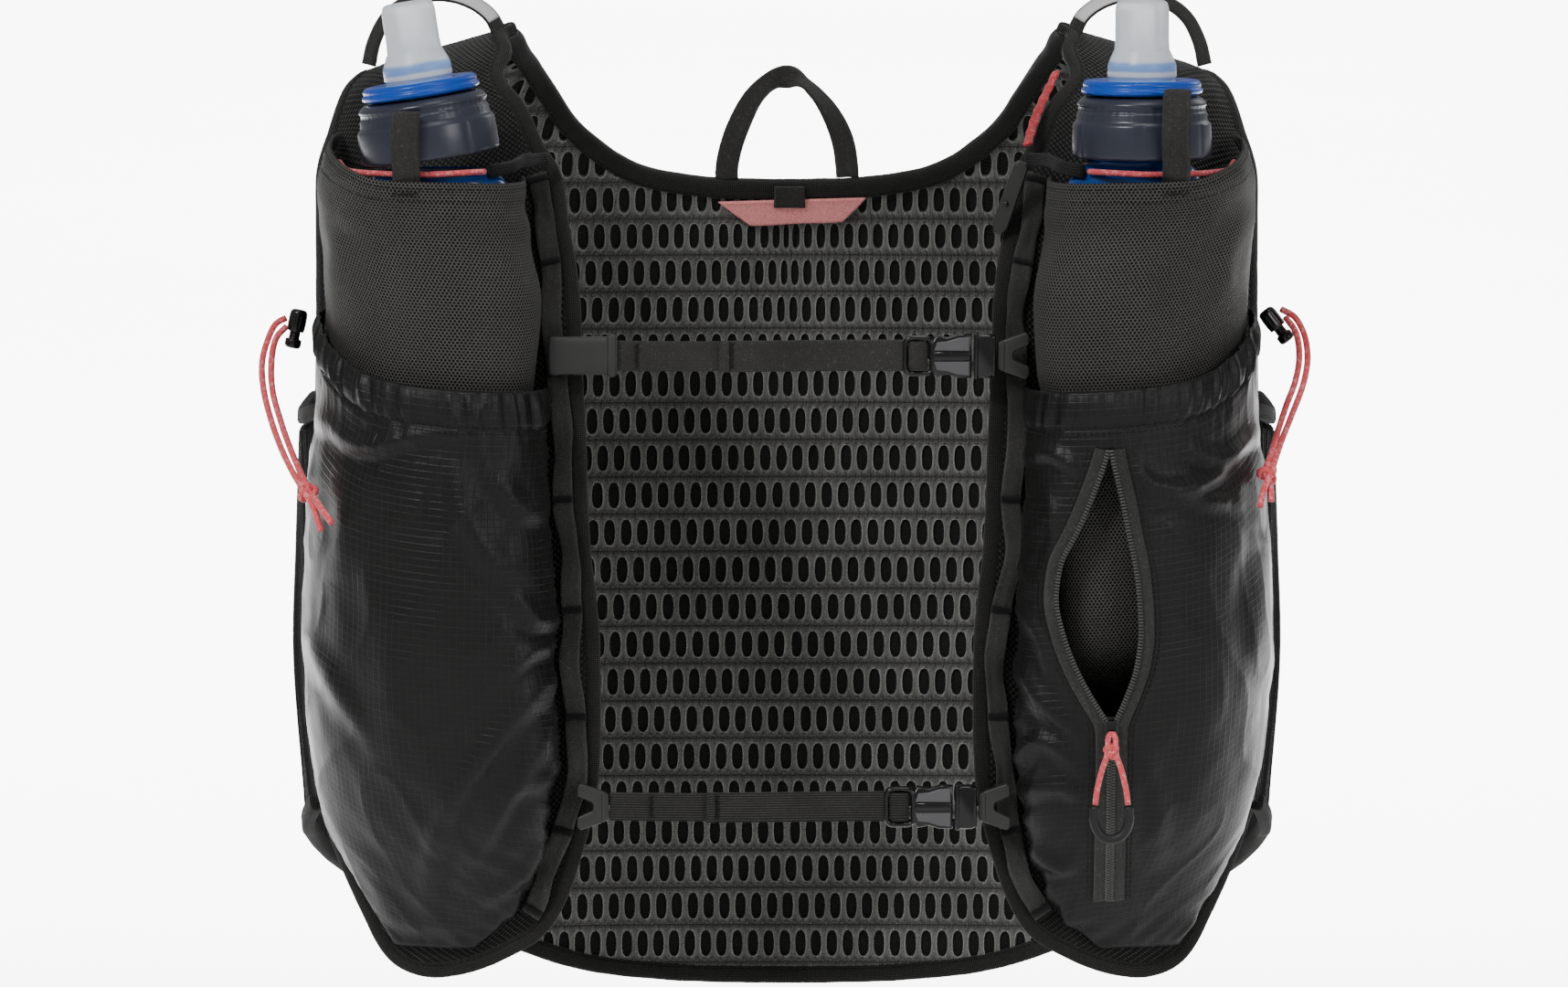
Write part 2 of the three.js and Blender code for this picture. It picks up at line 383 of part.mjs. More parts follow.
function pocketRows(table, hem, power, nu, nv, side) {
  const zTop = table[0].z, zEnd = table[table.length - 1].z, rows = [];
  for (let j = 0; j <= nv; j++) for (let i = 0; i <= nu; i++) {
    const th = Math.PI * i / nu, u = (1 - Math.cos(th)) / 2, v = j / nv;
    const z = (zTop - smooth(hem, 'u', 'drop', u)) * (1 - v) + zEnd * v;
    const outer = smooth(table, 'z', 'outer', z), inner = smooth(table, 'z', 'inner', z);
    const phi = side * (outer + (inner - outer) * u), N = trunkNormal(phi, z);
    const p = trunk(phi, z).addScaledVector(N, POCKET_LIFT);
    const d = smooth(table, 'z', 'deep', z) * Math.sin(th) ** power;
    p.x += side * 0.05 * d * Math.cos(th); p.y -= d;
    rows.push(p);
  }
  return rows;
}
function pocket(table, hem, power, nu, nv, side) {
  return facing(thicken(pocketRows(table, hem, power, nu, nv, side), gridFaces(nu, nv), POCKET_T));
}
function heightOn(rows, nu, nv, x, z) {      // the depth of a pocket's middle surface behind a point of the front view
  for (let j = 0; j < nv; j++) for (let i = 0; i < nu; i++) {
    const a = rows[j * (nu + 1) + i], b = rows[j * (nu + 1) + i + 1], c = rows[(j + 1) * (nu + 1) + i + 1], d = rows[(j + 1) * (nu + 1) + i];
    for (const [p, q, r] of [[a, b, c], [a, c, d]]) {
      const det = (q.x - p.x) * (r.z - p.z) - (r.x - p.x) * (q.z - p.z); if (Math.abs(det) < 1e-9) continue;
      const s = ((x - p.x) * (r.z - p.z) - (r.x - p.x) * (z - p.z)) / det, t = ((q.x - p.x) * (z - p.z) - (x - p.x) * (q.z - p.z)) / det;
      if (s >= -1e-6 && t >= -1e-6 && s + t <= 1 + 1e-6) return p.y + s * (q.y - p.y) + t * (r.y - p.y);
    }
  }
  return null;
}
const PNU = 12, PNV = 9;

for (const s of [-1, 1]) {
  const n = sideName(s), d = BIND_W * 0.6;
  // Front panel, from the shoulder seam to the bottom.
  const inner = inset(FRONT_EDGE, d), outer = inset(ARM_FRONT, -d), bottom = inset(FRONT_BOTTOM, d);
  const seamFoot = { phi: 109.55, z: -268.5 };
  inner[0] = { phi: 92.4, z: inner[0].z }; outer[0] = { phi: 92.4, z: -6.5 };
  const low = inner[inner.length - 1];
  const foot = join([low], bottom.filter(r => r.phi < low.phi - 0.8 && r.z < seamFoot.z - 2), [bottom[bottom.length - 1], seamFoot]);
  const arm = outer.filter(r => r.z > -128), right = arm.concat([{ phi: 109.55, z: -134 }, seamFoot]);
  const rows = patchRows([inner[0], outer[0]], foot, inner, right, 6, 16);
  add('front_panel_' + n, trim(thicken(rows.map(r => trunk(s * r.phi, r.z)), gridFaces(6, 16), PANEL_T), frontRoom(s), armRoom(s)), 'mesh');
  // Its binding, from the shoulder down the inner edge and round the bottom.
  add('front_binding_' + n, frontBand(s, BIND_W, BIND_T, 0), 'binding');
  // Armhole binding, one closed ring.
  add('armhole_binding_' + n, armBand(s, BIND_W, BIND_T, 0), 'binding');
  // Ribbed side panel between the seams.
  const L = [{ phi: 75.15, z: -134 }, { phi: 75.15, z: -297 }], R = [{ phi: 109.2, z: -134 }, { phi: 109.2, z: -269 }];
  const side = patchRows([L[0], R[0]], [L[1], R[1]], L, R, 5, 7).map(r => trunk(s * r.phi, r.z));
  add('side_panel_' + n, trim(thicken(side, gridFaces(5, 7), 1.8), armRoom(s), hemRoom), 'knit');
  // Pockets.
  add('flask_pocket_' + n, pocket(FLASK_POCKET, FLASK_HEM, 0.5, PNU, PNV, s), 'power');
  const low2 = pocketRows(LOWER_POCKET, LOWER_HEM, 0.54, PNU, PNV + 4, s);
  const bag = facing(thicken(low2, gridFaces(PNU, PNV + 4), POCKET_T));
  if (s < 0) add('lower_pocket_r', bag, 'nylon');
  else {
    // Zip: a lens-shaped slit between two tapes that run on, closed, below the slider.
    const drape = (outline, hole, thick, off) => {
      const sh = new THREE.Shape(outline.map(r => new THREE.Vector2(r.x, r.z)));
      if (hole) sh.holes.push(new THREE.Path(hole.map(r => new THREE.Vector2(r.x, r.z))));
      const g = new THREE.ShapeGeometry(sh), q = g.attributes.position, ix = g.index.array, pts = [], faces = [];
      for (let i = 0; i < q.count; i++) pts.push(V(q.getX(i), heightOn(low2, PNU, PNV + 4, q.getX(i), q.getY(i)) + off, q.getY(i)));
      for (let i = 0; i < ix.length; i += 3) faces.push([ix[i], ix[i + 1], ix[i + 2]]);
      return facing(thicken(pts, faces, thick, pts.map(() => V(0, -1, 0))));
    };
    const lens = (grow, rows) => rev(rows.map(r => ({ x: r.right + grow, z: r.z }))).concat(rows.map(r => ({ x: r.left - grow, z: r.z })));
    const hole = lens(0, ZIP_LENS), tape = lens(ZIP_TAPE_W, ZIP_LENS);
    const low = ZIP_LENS[ZIP_LENS.length - 1].z, steps = [0, 1, 2, 3, 4, 5].map(i => ZIP_TAIL.bottom + (low - ZIP_TAIL.bottom) * i / 5);
    const clean = steps.map(z => ({ x: ZIP_TAIL.right, z })).concat(tape.filter(r => r.z > low + 1), rev(steps).map(z => ({ x: ZIP_TAIL.left, z })));
    const grown = clean.map(r => ({ x: r.x + Math.sign(r.x - ZIP_MID) * 0.4, z: r.z + (r.z > -150 ? 0.4 : r.z <= ZIP_TAIL.bottom ? -0.5 : 0) }));
    const punch = plate(grown, 110).translate(0, -115, 0);
    add('lower_pocket_l', trim(bag, punch), 'nylon');
    add('zip_tape', drape(clean, hole, POCKET_T, 0), 'webbing');
    const zy = heightOn(low2, PNU, PNV + 4, ZIP_MID, ZIP_SLIDER_Z);
    add('zip_slider', plate([{ x: -2.6, z: 4 }, { x: -1.6, z: -4 }, { x: 1.6, z: -4 }, { x: 2.6, z: 4 }], 2.2, 0.4).translate(ZIP_MID, zy - POCKET_T / 2 - 1 - 1.1, ZIP_SLIDER_Z), 'satin');
    const py = zy - POCKET_T / 2 - 1 - 2.2 - 0.4 - 2.3;
    const knot = new THREE.SphereGeometry(2.3, 10, 6).translate(ZIP_MID, py, ZIP_SLIDER_Z - 5);
    const leg = k => tube([V(ZIP_MID + k * 0.6, py, ZIP_SLIDER_Z - 5.5), V(ZIP_MID + k * 2.4, py, ZIP_SLIDER_Z - 11), V(ZIP_MID + k * 4.6, py + 0.4, ZIP_SLIDER_Z - 18), V(ZIP_MID + k * 5.8, py + 0.6, ZIP_SLIDER_Z - 25.6)], 2.1, 8);
    add('zip_pull_cord', fuse(knot, leg(-1), leg(1)), 'cord');
    add('zip_grip', tube([V(ZIP_MID - 6, py + 0.6, ZIP_SLIDER_Z - 26.2), V(ZIP_MID - 6.1, py + 0.6, ZIP_SLIDER_Z - 32), V(ZIP_MID - 3.6, py + 0.6, ZIP_SLIDER_Z - 36.6), V(ZIP_MID, py + 0.6, ZIP_SLIDER_Z - 38), V(ZIP_MID + 3.6, py + 0.6, ZIP_SLIDER_Z - 36.6), V(ZIP_MID + 6.1, py + 0.6, ZIP_SLIDER_Z - 32), V(ZIP_MID + 6, py + 0.6, ZIP_SLIDER_Z - 26.2)], 3.4, 12), 'rubber');
  }
  // Daisy chain webbing along the inner edge.
  const chain = inset(FRONT_EDGE, 8.6).filter(r => r.z < -42 && r.z > -306);
  add('daisy_chain_' + n, edgeBand(sided(chain, s), 22, CHAIN_W, WEB_T, PANEL_T / 2 + GAP + 0.4 + WEB_T / 2), 'webbing');

  // Soft flask: bag, cap, turning lock collar and bite valve on one upright axis.
  const flask = new THREE.Group();
  flask.position.set(s * FLASK_X, FLASK_Y, CAP_TOP - 24);
  if (s < 0) flask.rotation.y = -LEAN_R * RAD;
  group.add(flask);
  const up = g => g.translate(0, 0, 24);
  const oval = (rows, seg) => {
    const all = [], tris = [], m = rows.length;
    rows.forEach(r => { for (let i = 0; i < seg; i++) { const a = i / seg * 2 * Math.PI; all.push(V(Math.sign(Math.cos(a)) * Math.abs(Math.cos(a)) ** 0.9 * r.w, Math.sign(Math.sin(a)) * Math.abs(Math.sin(a)) ** 0.9 * r.d, r.h)); } });
    for (let j = 0; j + 1 < m; j++) for (let i = 0; i < seg; i++) { const a = j * seg + i, b = j * seg + (i + 1) % seg; tris.push([a, b, b + seg], [a, b + seg, a + seg]); }
    for (let i = 1; i + 1 < seg; i++) { tris.push([0, i + 1, i]); const e = (m - 1) * seg; tris.push([e, e + i, e + i + 1]); }
    return facing(solidFrom(all, tris));
  };
  const bagTop = s < 0 ? 3.6 : 0;
  add('flask_body_' + n, oval(FLASK_BAG.map((r, i) => ({ ...r, h: i ? r.h : r.h - bagTop })), 16).translate(s * (FLASK_X - 2), FLASK_Y, CAP_TOP), 'flask');
  add('flask_cap_' + n, up(lathe([{ r: 0, h: 0 }, { r: 14, h: 0 }, { r: 21.5, h: -0.4 }, { r: 23, h: -2.2 }, { r: 23.4, h: -8.5 }, { r: 24.6, h: -9.8 }, { r: 24.9, h: -21 }, { r: 24.2, h: -22 }, { r: 0, h: -22 }], 22)), 'cap', flask);
  add('lock_collar_' + n, up(lathe([{ r: 12.6, h: 0.5 }, { r: 20.6, h: 0.5 }, { r: 21.4, h: 1.4 }, { r: 21.2, h: 4.6 }, { r: 19.8, h: 5.8 }, { r: 12.6, h: 5.8 }, { r: 12.6, h: 0.5 }], 20)), 'blue', flask);
  add('bite_valve_' + n, up(lathe([{ r: 0, h: 0.5 }, { r: 12.2, h: 0.5 }, { r: 12.2, h: 11 }, { r: 11.6, h: 13.5 }, { r: 10.2, h: 15.5 }, { r: 9.9, h: 31 }, { r: 9.2, h: 33.2 }, { r: 6.5, h: 34 }, { r: 0, h: 34 }], 16)), 'valve', flask);
  // Cord that holds the flask, from the armhole side to a webbing anchor at the inner edge.
  const zc = -37.5;
  add('flask_cord_' + n, tube([V(s * 161, -62, zc + 1), V(s * 158.5, -84, zc), V(s * 154.5, -104, zc), V(s * 144, -117.5, zc), V(s * 127, -122, zc), V(s * 113, -118.5, zc + 0.5), V(s * 107.4, -113, zc + 0.5)], 2.2, 14), 'cord');
  add('cord_anchor_' + n, band([V(s * 104.2, -111, zc + 0.8), V(s * 98.2, -101, zc + 1.5), V(s * 93.6, -85, zc + 3), V(s * 88.5, -72.5, zc + 2.5)], [V(0, 0, 1), V(0, 0, 1), V(0, 0.2, 1), V(0, 0.3, 1)].map(q => q.normalize()), [V(s * 0.85, -0.5, 0), V(-0.85 * -s, -0.5, 0), V(s * 0.8, -0.6, 0), V(s * 0.8, -0.6, 0)].map(q => q.normalize()), 4.6, 1.8), 'webbing');
  // Pull loop on the pocket hem, shoulder loop on the strap.
  const px = PULL_X[n], top = pocketRows(FLASK_POCKET, FLASK_HEM, 0.5, PNU, PNV, s), ph = z => heightOn(top, PNU, PNV, px, z);
  const pz = -50, pt = PULL_TOP[n], pf = Math.min(ph(pz), ph(-45.5)) - POCKET_T / 2 - 2 - WEB_T / 2;
  add('pull_loop_' + n, band([V(px, pf - 0.3, pz), V(px, pf - 0.5, -40), V(px, pf - 0.5, pt - 7.4), V(px, pf - 0.3, pt - 1.6), V(px, pf + 0.6, pt), V(px, pf + 1.5, pt - 1.6), V(px, pf + 1.7, pt - 7.4), V(px, pf + 1.7, -39)],
    Array(8).fill(V(1, 0, 0)), [V(0, -1, 0), V(0, -1, 0), V(0, -1, 0.1), V(0, -0.8, 0.6), V(0, 0, 1), V(0, 0.8, 0.6), V(0, 1, 0.1), V(0, 1, 0)].map(q => q.normalize()), 10.5, WEB_T, 0), 'webbing');
  const arch = [{ x: 105.8, z: 9.5 }, { x: 108, z: 13.4 }, { x: 113, z: 17.5 }, { x: 120, z: 20.4 }, { x: 128, z: 21.3 }, { x: 137, z: 19.4 }, { x: 145.5, z: 13.6 }, { x: 150.5, z: 4.5 }, { x: 152.6, z: -3.4 }];
  const ap = arch.map(r => V(s * r.x, -3, r.z)), at = ap.map((q, i) => ap[Math.min(i + 1, 8)].clone().sub(ap[Math.max(i - 1, 0)]).normalize());
  add('shoulder_loop_' + n, band(ap, ap.map(() => V(0, 1, 0)), at.map(t => V(-t.z, 0, t.x).normalize()), 6.2, WEB_T, 0), 'webbing');
  // Cord lock at the side seam, its sprung button, and the draw cord of the lower pocket's hem.
  const lock = new THREE.Group(), LK = CORD_LOCK[n];
  lock.position.set(LK.x, LK.y, LK.z); lock.rotation.set(LK.tiltX * RAD, LK.tiltY * RAD, 0, 'YXZ'); group.add(lock);
  add('cord_lock_' + n, lathe([{ r: 0, h: 6.5 }, { r: 2.4, h: 6.4 }, { r: 3.1, h: 5.6 }, { r: 3.1, h: -1.5 }, { r: 2.35, h: -1.5 }, { r: 2.35, h: 2.6 }, { r: 0, h: 2.6 }], 12), 'gloss', lock);
  add('cord_lock_button_' + n, lathe([{ r: 0, h: -0.6 }, { r: 1.95, h: -0.6 }, { r: 1.95, h: -4.2 }, { r: 3.0, h: -4.4 }, { r: 3.0, h: -6.8 }, { r: 2.4, h: -7.6 }, { r: 0, h: -7.7 }], 12), 'gloss', lock);
  const K = DRAWCORD[n].knot, run = rows => tube(rows.map(r => V(r.x, r.y, r.z)), CORD_D, 14);
  add('drawcord_' + n, fuse(new THREE.SphereGeometry(3.9, 10, 6).scale(1, 0.85, 1.05).translate(K.x, K.y, K.z), run([...DRAWCORD[n].outer, K]), run([...DRAWCORD[n].inner, K]),
    ...DRAWCORD[n].tails.map(t => tube(t.map(r => V(r.x, r.y, r.z)), CORD_D, 4))), 'cord');
}

// Chest straps with their buckles, hooks and keeper, across the gap between the front panels.
for (const S of [STRAPS.upper, STRAPS.lower]) {
  const k = S.name, y = S.y, z = S.z;
  if (k === 'upper') {
    add('strap_keeper', cut(plate(rect(24.5, 14, 2), 4.6, 0.6).translate(-72.8, y, z), plate(rect(27, STRAP_W + 0.9, 0.3), WEB_T + 0.8).translate(-72.8, y, z)), 'rubber');
  } else {
    add('lower_hook_r', plate(HOOK.map(r => ({ x: -r.x, z: r.z })).reverse(), 3.4, 0.5).translate(S.hookR, y, z), 'satin');
  }
  add(k + '_strap', plate(rect(S.to - S.from, k === 'upper' ? STRAP_W : 10.6, 0.4), WEB_T).translate((S.from + S.to) / 2, y, z), 'webbing');
  add(k + '_buckle_male', cut(fuse(plate(rect(11, 14.2, 1), 4.4, 0.6).translate(S.to + 5.9, y, z), plate(rect(14.6, 15.4, 2.2), 6.0, 1).translate(S.to + 17.6, y, z)), plate(rect(3.4, 11.4, 0.3), 9).translate(S.to + 5, y, z)), 'gloss');
  add(k + '_buckle_female', plate(rect(8.4, 15.8, 2), 6.4, 1).translate(S.to + 29.5, y, z), 'gloss');
  add(k + '_hook_l', plate(HOOK, 3.4, 0.5).translate(S.to + 34.1, y, z), 'satin');
}

// Neck: hang loop, bare label, whistle and its lanyard.
{
  const face = HANG_LOOP.map(r => V(Math.sin(r.turn * RAD), -Math.cos(r.turn * RAD), 0));
  const pts = HANG_LOOP.map(r => V(r.x, r.y, r.z));
  const tan = pts.map((q, i) => pts[Math.min(i + 1, pts.length - 1)].clone().sub(pts[Math.max(i - 1, 0)]).normalize());
  const f2 = face.map((f, i) => f.clone().addScaledVector(tan[i], -f.dot(tan[i])).normalize());
  add('hang_loop', band(pts, tan.map((t, i) => t.clone().cross(f2[i]).normalize()), f2, 8.6, WEB_T, 0), 'webbing');
  const lab = [];
  for (let j = 0; j <= 2; j++) for (let i = 0; i <= 6; i++) {
    const v = j / 2, x = -23.8 + (27.9 + 23.8) * (i / 6) * 1 + (v * ((1 - i / 6) * 12 - (i / 6) * 9.5)), z = -57.8 + 1.6 * (i / 6) - v * 9.2;
    const rr = onTrunk(V(x, 70, z)); const q = trunk(rr.phi, z), N = trunkNormal(rr.phi, z);
    lab.push(q.addScaledVector(N, -(PANEL_T / 2 + GAP + 1.3)));
  }
  add('collar_label', facing(thicken(lab, gridFaces(6, 2), 1.0)), 'label');
  const wh = plate([{ x: -2.7, z: 12.5 }, { x: -2.9, z: -10.5 }, { x: -1.6, z: -13.6 }, { x: 1.6, z: -13.6 }, { x: 2.9, z: -10.5 }, { x: 2.7, z: 12.5 }, { x: 1.4, z: 14 }, { x: -1.4, z: 14 }], 4, 0.6);
  wh.rotateY(19 * RAD).rotateX(6 * RAD).translate(80, -77.2, -48.6);
  add('whistle', wh, 'rubber');
  const lan = LANYARD.map(r => V(r.x, r.y, r.z)), lt = lan.map((q, i) => lan[Math.min(i + 1, lan.length - 1)].clone().sub(lan[Math.max(i - 1, 0)]).normalize());
  const lf = lan.map((q, i) => { const f = V(-0.35, -0.8, 0.4); return f.addScaledVector(lt[i], -f.dot(lt[i])).normalize(); });
  add('whistle_lanyard', band(lan, lt.map((t, i) => t.clone().cross(lf[i]).normalize()), lf, 4.6, 1.2, 0), 'cord');
}
export default group;
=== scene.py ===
import math

import bpy
import numpy as np
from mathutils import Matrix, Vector


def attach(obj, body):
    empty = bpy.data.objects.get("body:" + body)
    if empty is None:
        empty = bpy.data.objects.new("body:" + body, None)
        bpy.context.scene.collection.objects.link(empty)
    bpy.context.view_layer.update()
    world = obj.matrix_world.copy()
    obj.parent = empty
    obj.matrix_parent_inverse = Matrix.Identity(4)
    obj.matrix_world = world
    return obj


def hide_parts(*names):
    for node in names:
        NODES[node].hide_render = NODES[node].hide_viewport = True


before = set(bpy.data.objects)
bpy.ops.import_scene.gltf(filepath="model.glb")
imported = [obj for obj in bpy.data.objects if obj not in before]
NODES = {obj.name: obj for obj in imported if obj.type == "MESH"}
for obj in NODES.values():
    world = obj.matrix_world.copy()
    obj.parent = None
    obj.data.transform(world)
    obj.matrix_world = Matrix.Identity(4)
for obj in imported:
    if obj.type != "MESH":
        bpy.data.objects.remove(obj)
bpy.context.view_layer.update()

RNG = np.random.default_rng(11)
RAD = math.pi / 180
scene = bpy.context.scene

# ---------------------------------------------------------------- camera, light, floor
cam_data = bpy.data.cameras.new("camera")
cam = bpy.data.objects.new("camera", cam_data)
scene.collection.objects.link(cam)
cam.location = (-0.001, -3.985, 0.187)
cam.rotation_euler = (math.radians(85), 0, 0)
cam_data.sensor_fit = "HORIZONTAL"
cam_data.sensor_width = 36
cam_data.lens = 250.5
cam_data.clip_start, cam_data.clip_end = 0.1, 300
scene.camera = cam


def area_light(name, where, aim, size, power, colour=(1, 1, 1)):
    d = bpy.data.lights.new(name, "AREA")
    d.shape, d.size, d.energy, d.color = "DISK", size, power, colour
    o = bpy.data.objects.new(name, d)
    scene.collection.objects.link(o)
    o.location = where
    o.rotation_mode = "QUATERNION"
    o.rotation_quaternion = (Vector(aim) - Vector(where)).to_track_quat("-Z", "Y")
    return o


area_light("key", (-1.4, -2.2, 1.9), (0, 0, -0.16), 0.8, 56)
area_light("fill", (2.2, -2.6, 0.9), (0, 0, -0.16), 1.2, 27)
area_light("top", (0.2, -0.9, 2.3), (0, 0, -0.1), 1.0, 11)
area_light("rim", (1.6, 1.9, 0.9), (0, 0, -0.1), 1.0, 5)
sweep_light = area_light("floor_wash", (0, 11.4, 1.5), (0, 11.4, 0), 5, 3200)
sweep_light.data.shape = "RECTANGLE"
sweep_light.data.size_y = 20
sweep_light.data.spread = math.radians(100)
world = bpy.data.worlds.new("world")
world.use_nodes = True
world.node_tree.nodes["Background"].inputs[0].default_value = (1, 1, 1, 1)
world.node_tree.nodes["Background"].inputs[1].default_value = 0.32
scene.world = world


# ---------------------------------------------------------------- tables and curves (mm)
def table(names, rows):
    a = np.array(rows, float)
    return {k: a[:, i] for i, k in enumerate(names.split())}


def smooth(T, key, col, x):
    X, Y = T[key], T[col]
    if X[0] > X[-1]:
        X, Y = X[::-1], Y[::-1]
    x = np.clip(np.asarray(x, float), X[0], X[-1])
    d = np.diff(Y) / np.diff(X)
    m = np.empty_like(Y)
    m[0], m[-1] = d[0], d[-1]
    p, q = d[:-1], d[1:]
    safe = np.where(np.abs(p + q) < 1e-12, 1, p + q)
    m[1:-1] = np.where(p * q <= 0, 0, 2 * p * q / safe)
    k = np.clip(np.searchsorted(X, x, side="right") - 1, 0, len(X) - 2)
    h = X[k + 1] - X[k]
    t = (x - X[k]) / h
    return (Y[k] * (1 + 2 * t) * (1 - t) ** 2 + h * m[k] * t * (1 - t) ** 2
            + Y[k + 1] * t * t * (3 - 2 * t) + h * m[k + 1] * t * t * (t - 1))


TORSO = table("z a b n", [
    (12, 92, 8, 2.0), (9, 100, 14, 2.05), (-9, 156, 40, 2.1), (-15, 163, 46, 2.15), (-26, 168, 56, 2.2),
    (-45, 175, 69, 2.3), (-84, 176, 86, 2.5), (-121, 177, 92, 2.7), (-181, 179, 96, 2.8), (-213, 180, 96, 2.8),
    (-275, 176, 94, 2.8), (-360, 171, 90, 2.8)])
NECK = np.array([(0, -51.2), (6, -50.6), (10, -49), (14, -46.5), (17.5, -42), (22, -34), (25.5, -27), (30, -15),
                 (35, -7.5), (41, -2.6), (60, 5.6), (90, 9.3)], float)
FRONT_EDGE = np.array([(90, 9.3), (128, 1.4), (140, -9), (146, -16), (151, -30), (155, -40), (157.5, -60),
                       (159.2, -74), (160.4, -88), (162.6, -124), (164.2, -173), (165.4, -206), (165, -255),
                       (163.8, -273), (162.6, -285), (160.2, -303), (157, -315), (153, -321)], float)
FRONT_BOTTOM = np.array([(153, -321), (149, -325.5), (144, -329), (138, -330.4), (132, -327.6), (127.5, -321),
                         (124, -311), (117, -292), (109.4, -271.5)], float)
ARM_FRONT = np.array([(90, -9), (97, -14.5), (101, -27), (104, -45), (107, -84), (109.4, -130)], float)
ARM_BACK = np.array([(90, -9), (78, -14), (68, -30), (63, -60), (66, -98), (75, -130)], float)
ARM_BOTTOM = np.array([(75, -130), (84, -134), (96, -134.5), (109.4, -130)], float)
HEM = np.array([(0, -354.2), (6, -353.6), (12, -352), (18, -349.5), (25, -344), (29, -340), (45, -327), (60, -313),
                (75, -300)], float)
SIDE_HEM = np.array([(75, -300), (92, -286), (109.4, -271.5)], float)


def unit(v):
    return v / np.maximum(np.linalg.norm(v, axis=-1, keepdims=True), 1e-12)


def trunk(phi, z):
    phi, z = np.broadcast_arrays(np.asarray(phi, float), np.asarray(z, float))
    a, b, n = (smooth(TORSO, "z", k, z) for k in "abn")
    s, c = np.sin(phi * RAD), np.cos(phi * RAD)
    return np.stack([a * np.sign(s) * np.abs(s) ** (2 / n), b * np.sign(c) * np.abs(c) ** (2 / n), z], -1)


def normal(phi, z):
    e = 0.6
    du = trunk(phi + e, z) - trunk(phi - e, z)
    dv = trunk(phi, z + e) - trunk(phi, z - e)
    return -unit(np.cross(du, dv))


def on_trunk(p):
    a, b, n = (smooth(TORSO, "z", k, p[..., 2]) for k in "abn")
    x, y = p[..., 0], p[..., 1]
    phi = np.arctan2(np.sign(x) * np.abs(x / a) ** (n / 2), np.sign(y) * np.abs(y / b) ** (n / 2)) / RAD
    return np.stack([phi, p[..., 2]], -1)


def catmull(P, per=10):
    P = np.asarray(P, float)
    ext = np.vstack([2 * P[:1] - P[1:2], P, 2 * P[-1:] - P[-2:-1]])
    w = np.linspace(0, 1, per, endpoint=False)[:, None]
    out = []
    for i in range(len(P) - 1):
        p0, p1, p2, p3 = ext[i:i + 4]
        d = [max(np.linalg.norm(b - a) ** 0.5, 1e-4) for a, b in ((p0, p1), (p1, p2), (p2, p3))]
        t1 = ((p1 - p0) / d[0] - (p2 - p0) / (d[0] + d[1]) + (p2 - p1) / d[1]) * d[1]
        t2 = ((p2 - p1) / d[1] - (p3 - p1) / (d[1] + d[2]) + (p3 - p2) / d[2]) * d[1]
        out.append(p1 + t1 * w + (-3 * p1 + 3 * p2 - 2 * t1 - t2) * w ** 2 + (2 * p1 - 2 * p2 + t1 + t2) * w ** 3)
    return np.vstack(out + [P[-1:]])


def along(P):
    return np.concatenate([[0], np.cumsum(np.linalg.norm(np.diff(P, axis=0), axis=1))])


def even(P, step=None, count=None):
    L = along(P)
    count = count or max(2, int(round(L[-1] / step)))
    s = np.linspace(0, L[-1], count + 1)
    return np.stack([np.interp(s, L, P[:, k]) for k in range(P.shape[1])], -1)


def spread(rows, count):
    L = along(trunk(rows[:, 0], rows[:, 1]))
    s = np.linspace(0, L[-1], count + 1)
    return np.stack([np.interp(s, L, rows[:, k]) for k in range(2)], -1)


def inset(T, dist):
    rows = spread(catmull(T), max(24, len(T) * 5))
    P = trunk(rows[:, 0], rows[:, 1])
    t = np.empty_like(P)
    t[1:-1] = P[2:] - P[:-2]
    t[0], t[-1] = P[1] - P[0], P[-1] - P[-2]
    side = unit(np.cross(normal(rows[:, 0], rows[:, 1]), unit(t)))
    return on_trunk(P + side * dist)


def flip(rows):
    return rows * np.array([-1, 1])


def clamp_phi(rows, lo, hi):
    r = rows.copy()
    r[:, 0] = np.clip(r[:, 0], lo, hi)
    return r


def tangents(P, closed=False):
    if closed:
        return unit(np.roll(P, -1, 0) - np.roll(P, 1, 0))
    t = np.empty_like(P)
    t[1:-1] = P[2:] - P[:-2]
    t[0], t[-1] = P[1] - P[0], P[-1] - P[-2]
    return unit(t)


def blur(P, times=2):
    P = P.copy()
    for _ in range(times):
        P[1:-1] = (P[:-2] + 2 * P[1:-1] + P[2:]) / 4
    return P


def noise2(x, y, seed=0):
    """Smooth gradient noise, about -1 to 1."""
    g = np.random.default_rng(seed).normal(size=(64, 64, 2))
    g /= np.linalg.norm(g, axis=-1, keepdims=True)
    xi, yi = np.floor(x).astype(int), np.floor(y).astype(int)
    xf, yf = x - xi, y - yi
    u, v = xf ** 3 * (xf * (xf * 6 - 15) + 10), yf ** 3 * (yf * (yf * 6 - 15) + 10)

    def corner(i, j):
        q = g[(xi + i) % 64, (yi + j) % 64]
        return q[..., 0] * (xf - i) + q[..., 1] * (yf - j)
    a = corner(0, 0) * (1 - u) + corner(1, 0) * u
    b = corner(0, 1) * (1 - u) + corner(1, 1) * u
    return (a * (1 - v) + b * v) * 1.5


def ramp(x, a, b):
    t = np.clip((x - a) / (b - a), 0, 1)
    return t * t * (3 - 2 * t)


# ---------------------------------------------------------------- materials
def lin(c):
    c = c / 255
    return c / 12.92 if c <= 0.04045 else ((c + 0.055) / 1.055) ** 2.4


def rgb(r, g=None, b=None):
    g, b = (r, r) if g is None else (g, b)
    return (lin(r), lin(g), lin(b), 1)


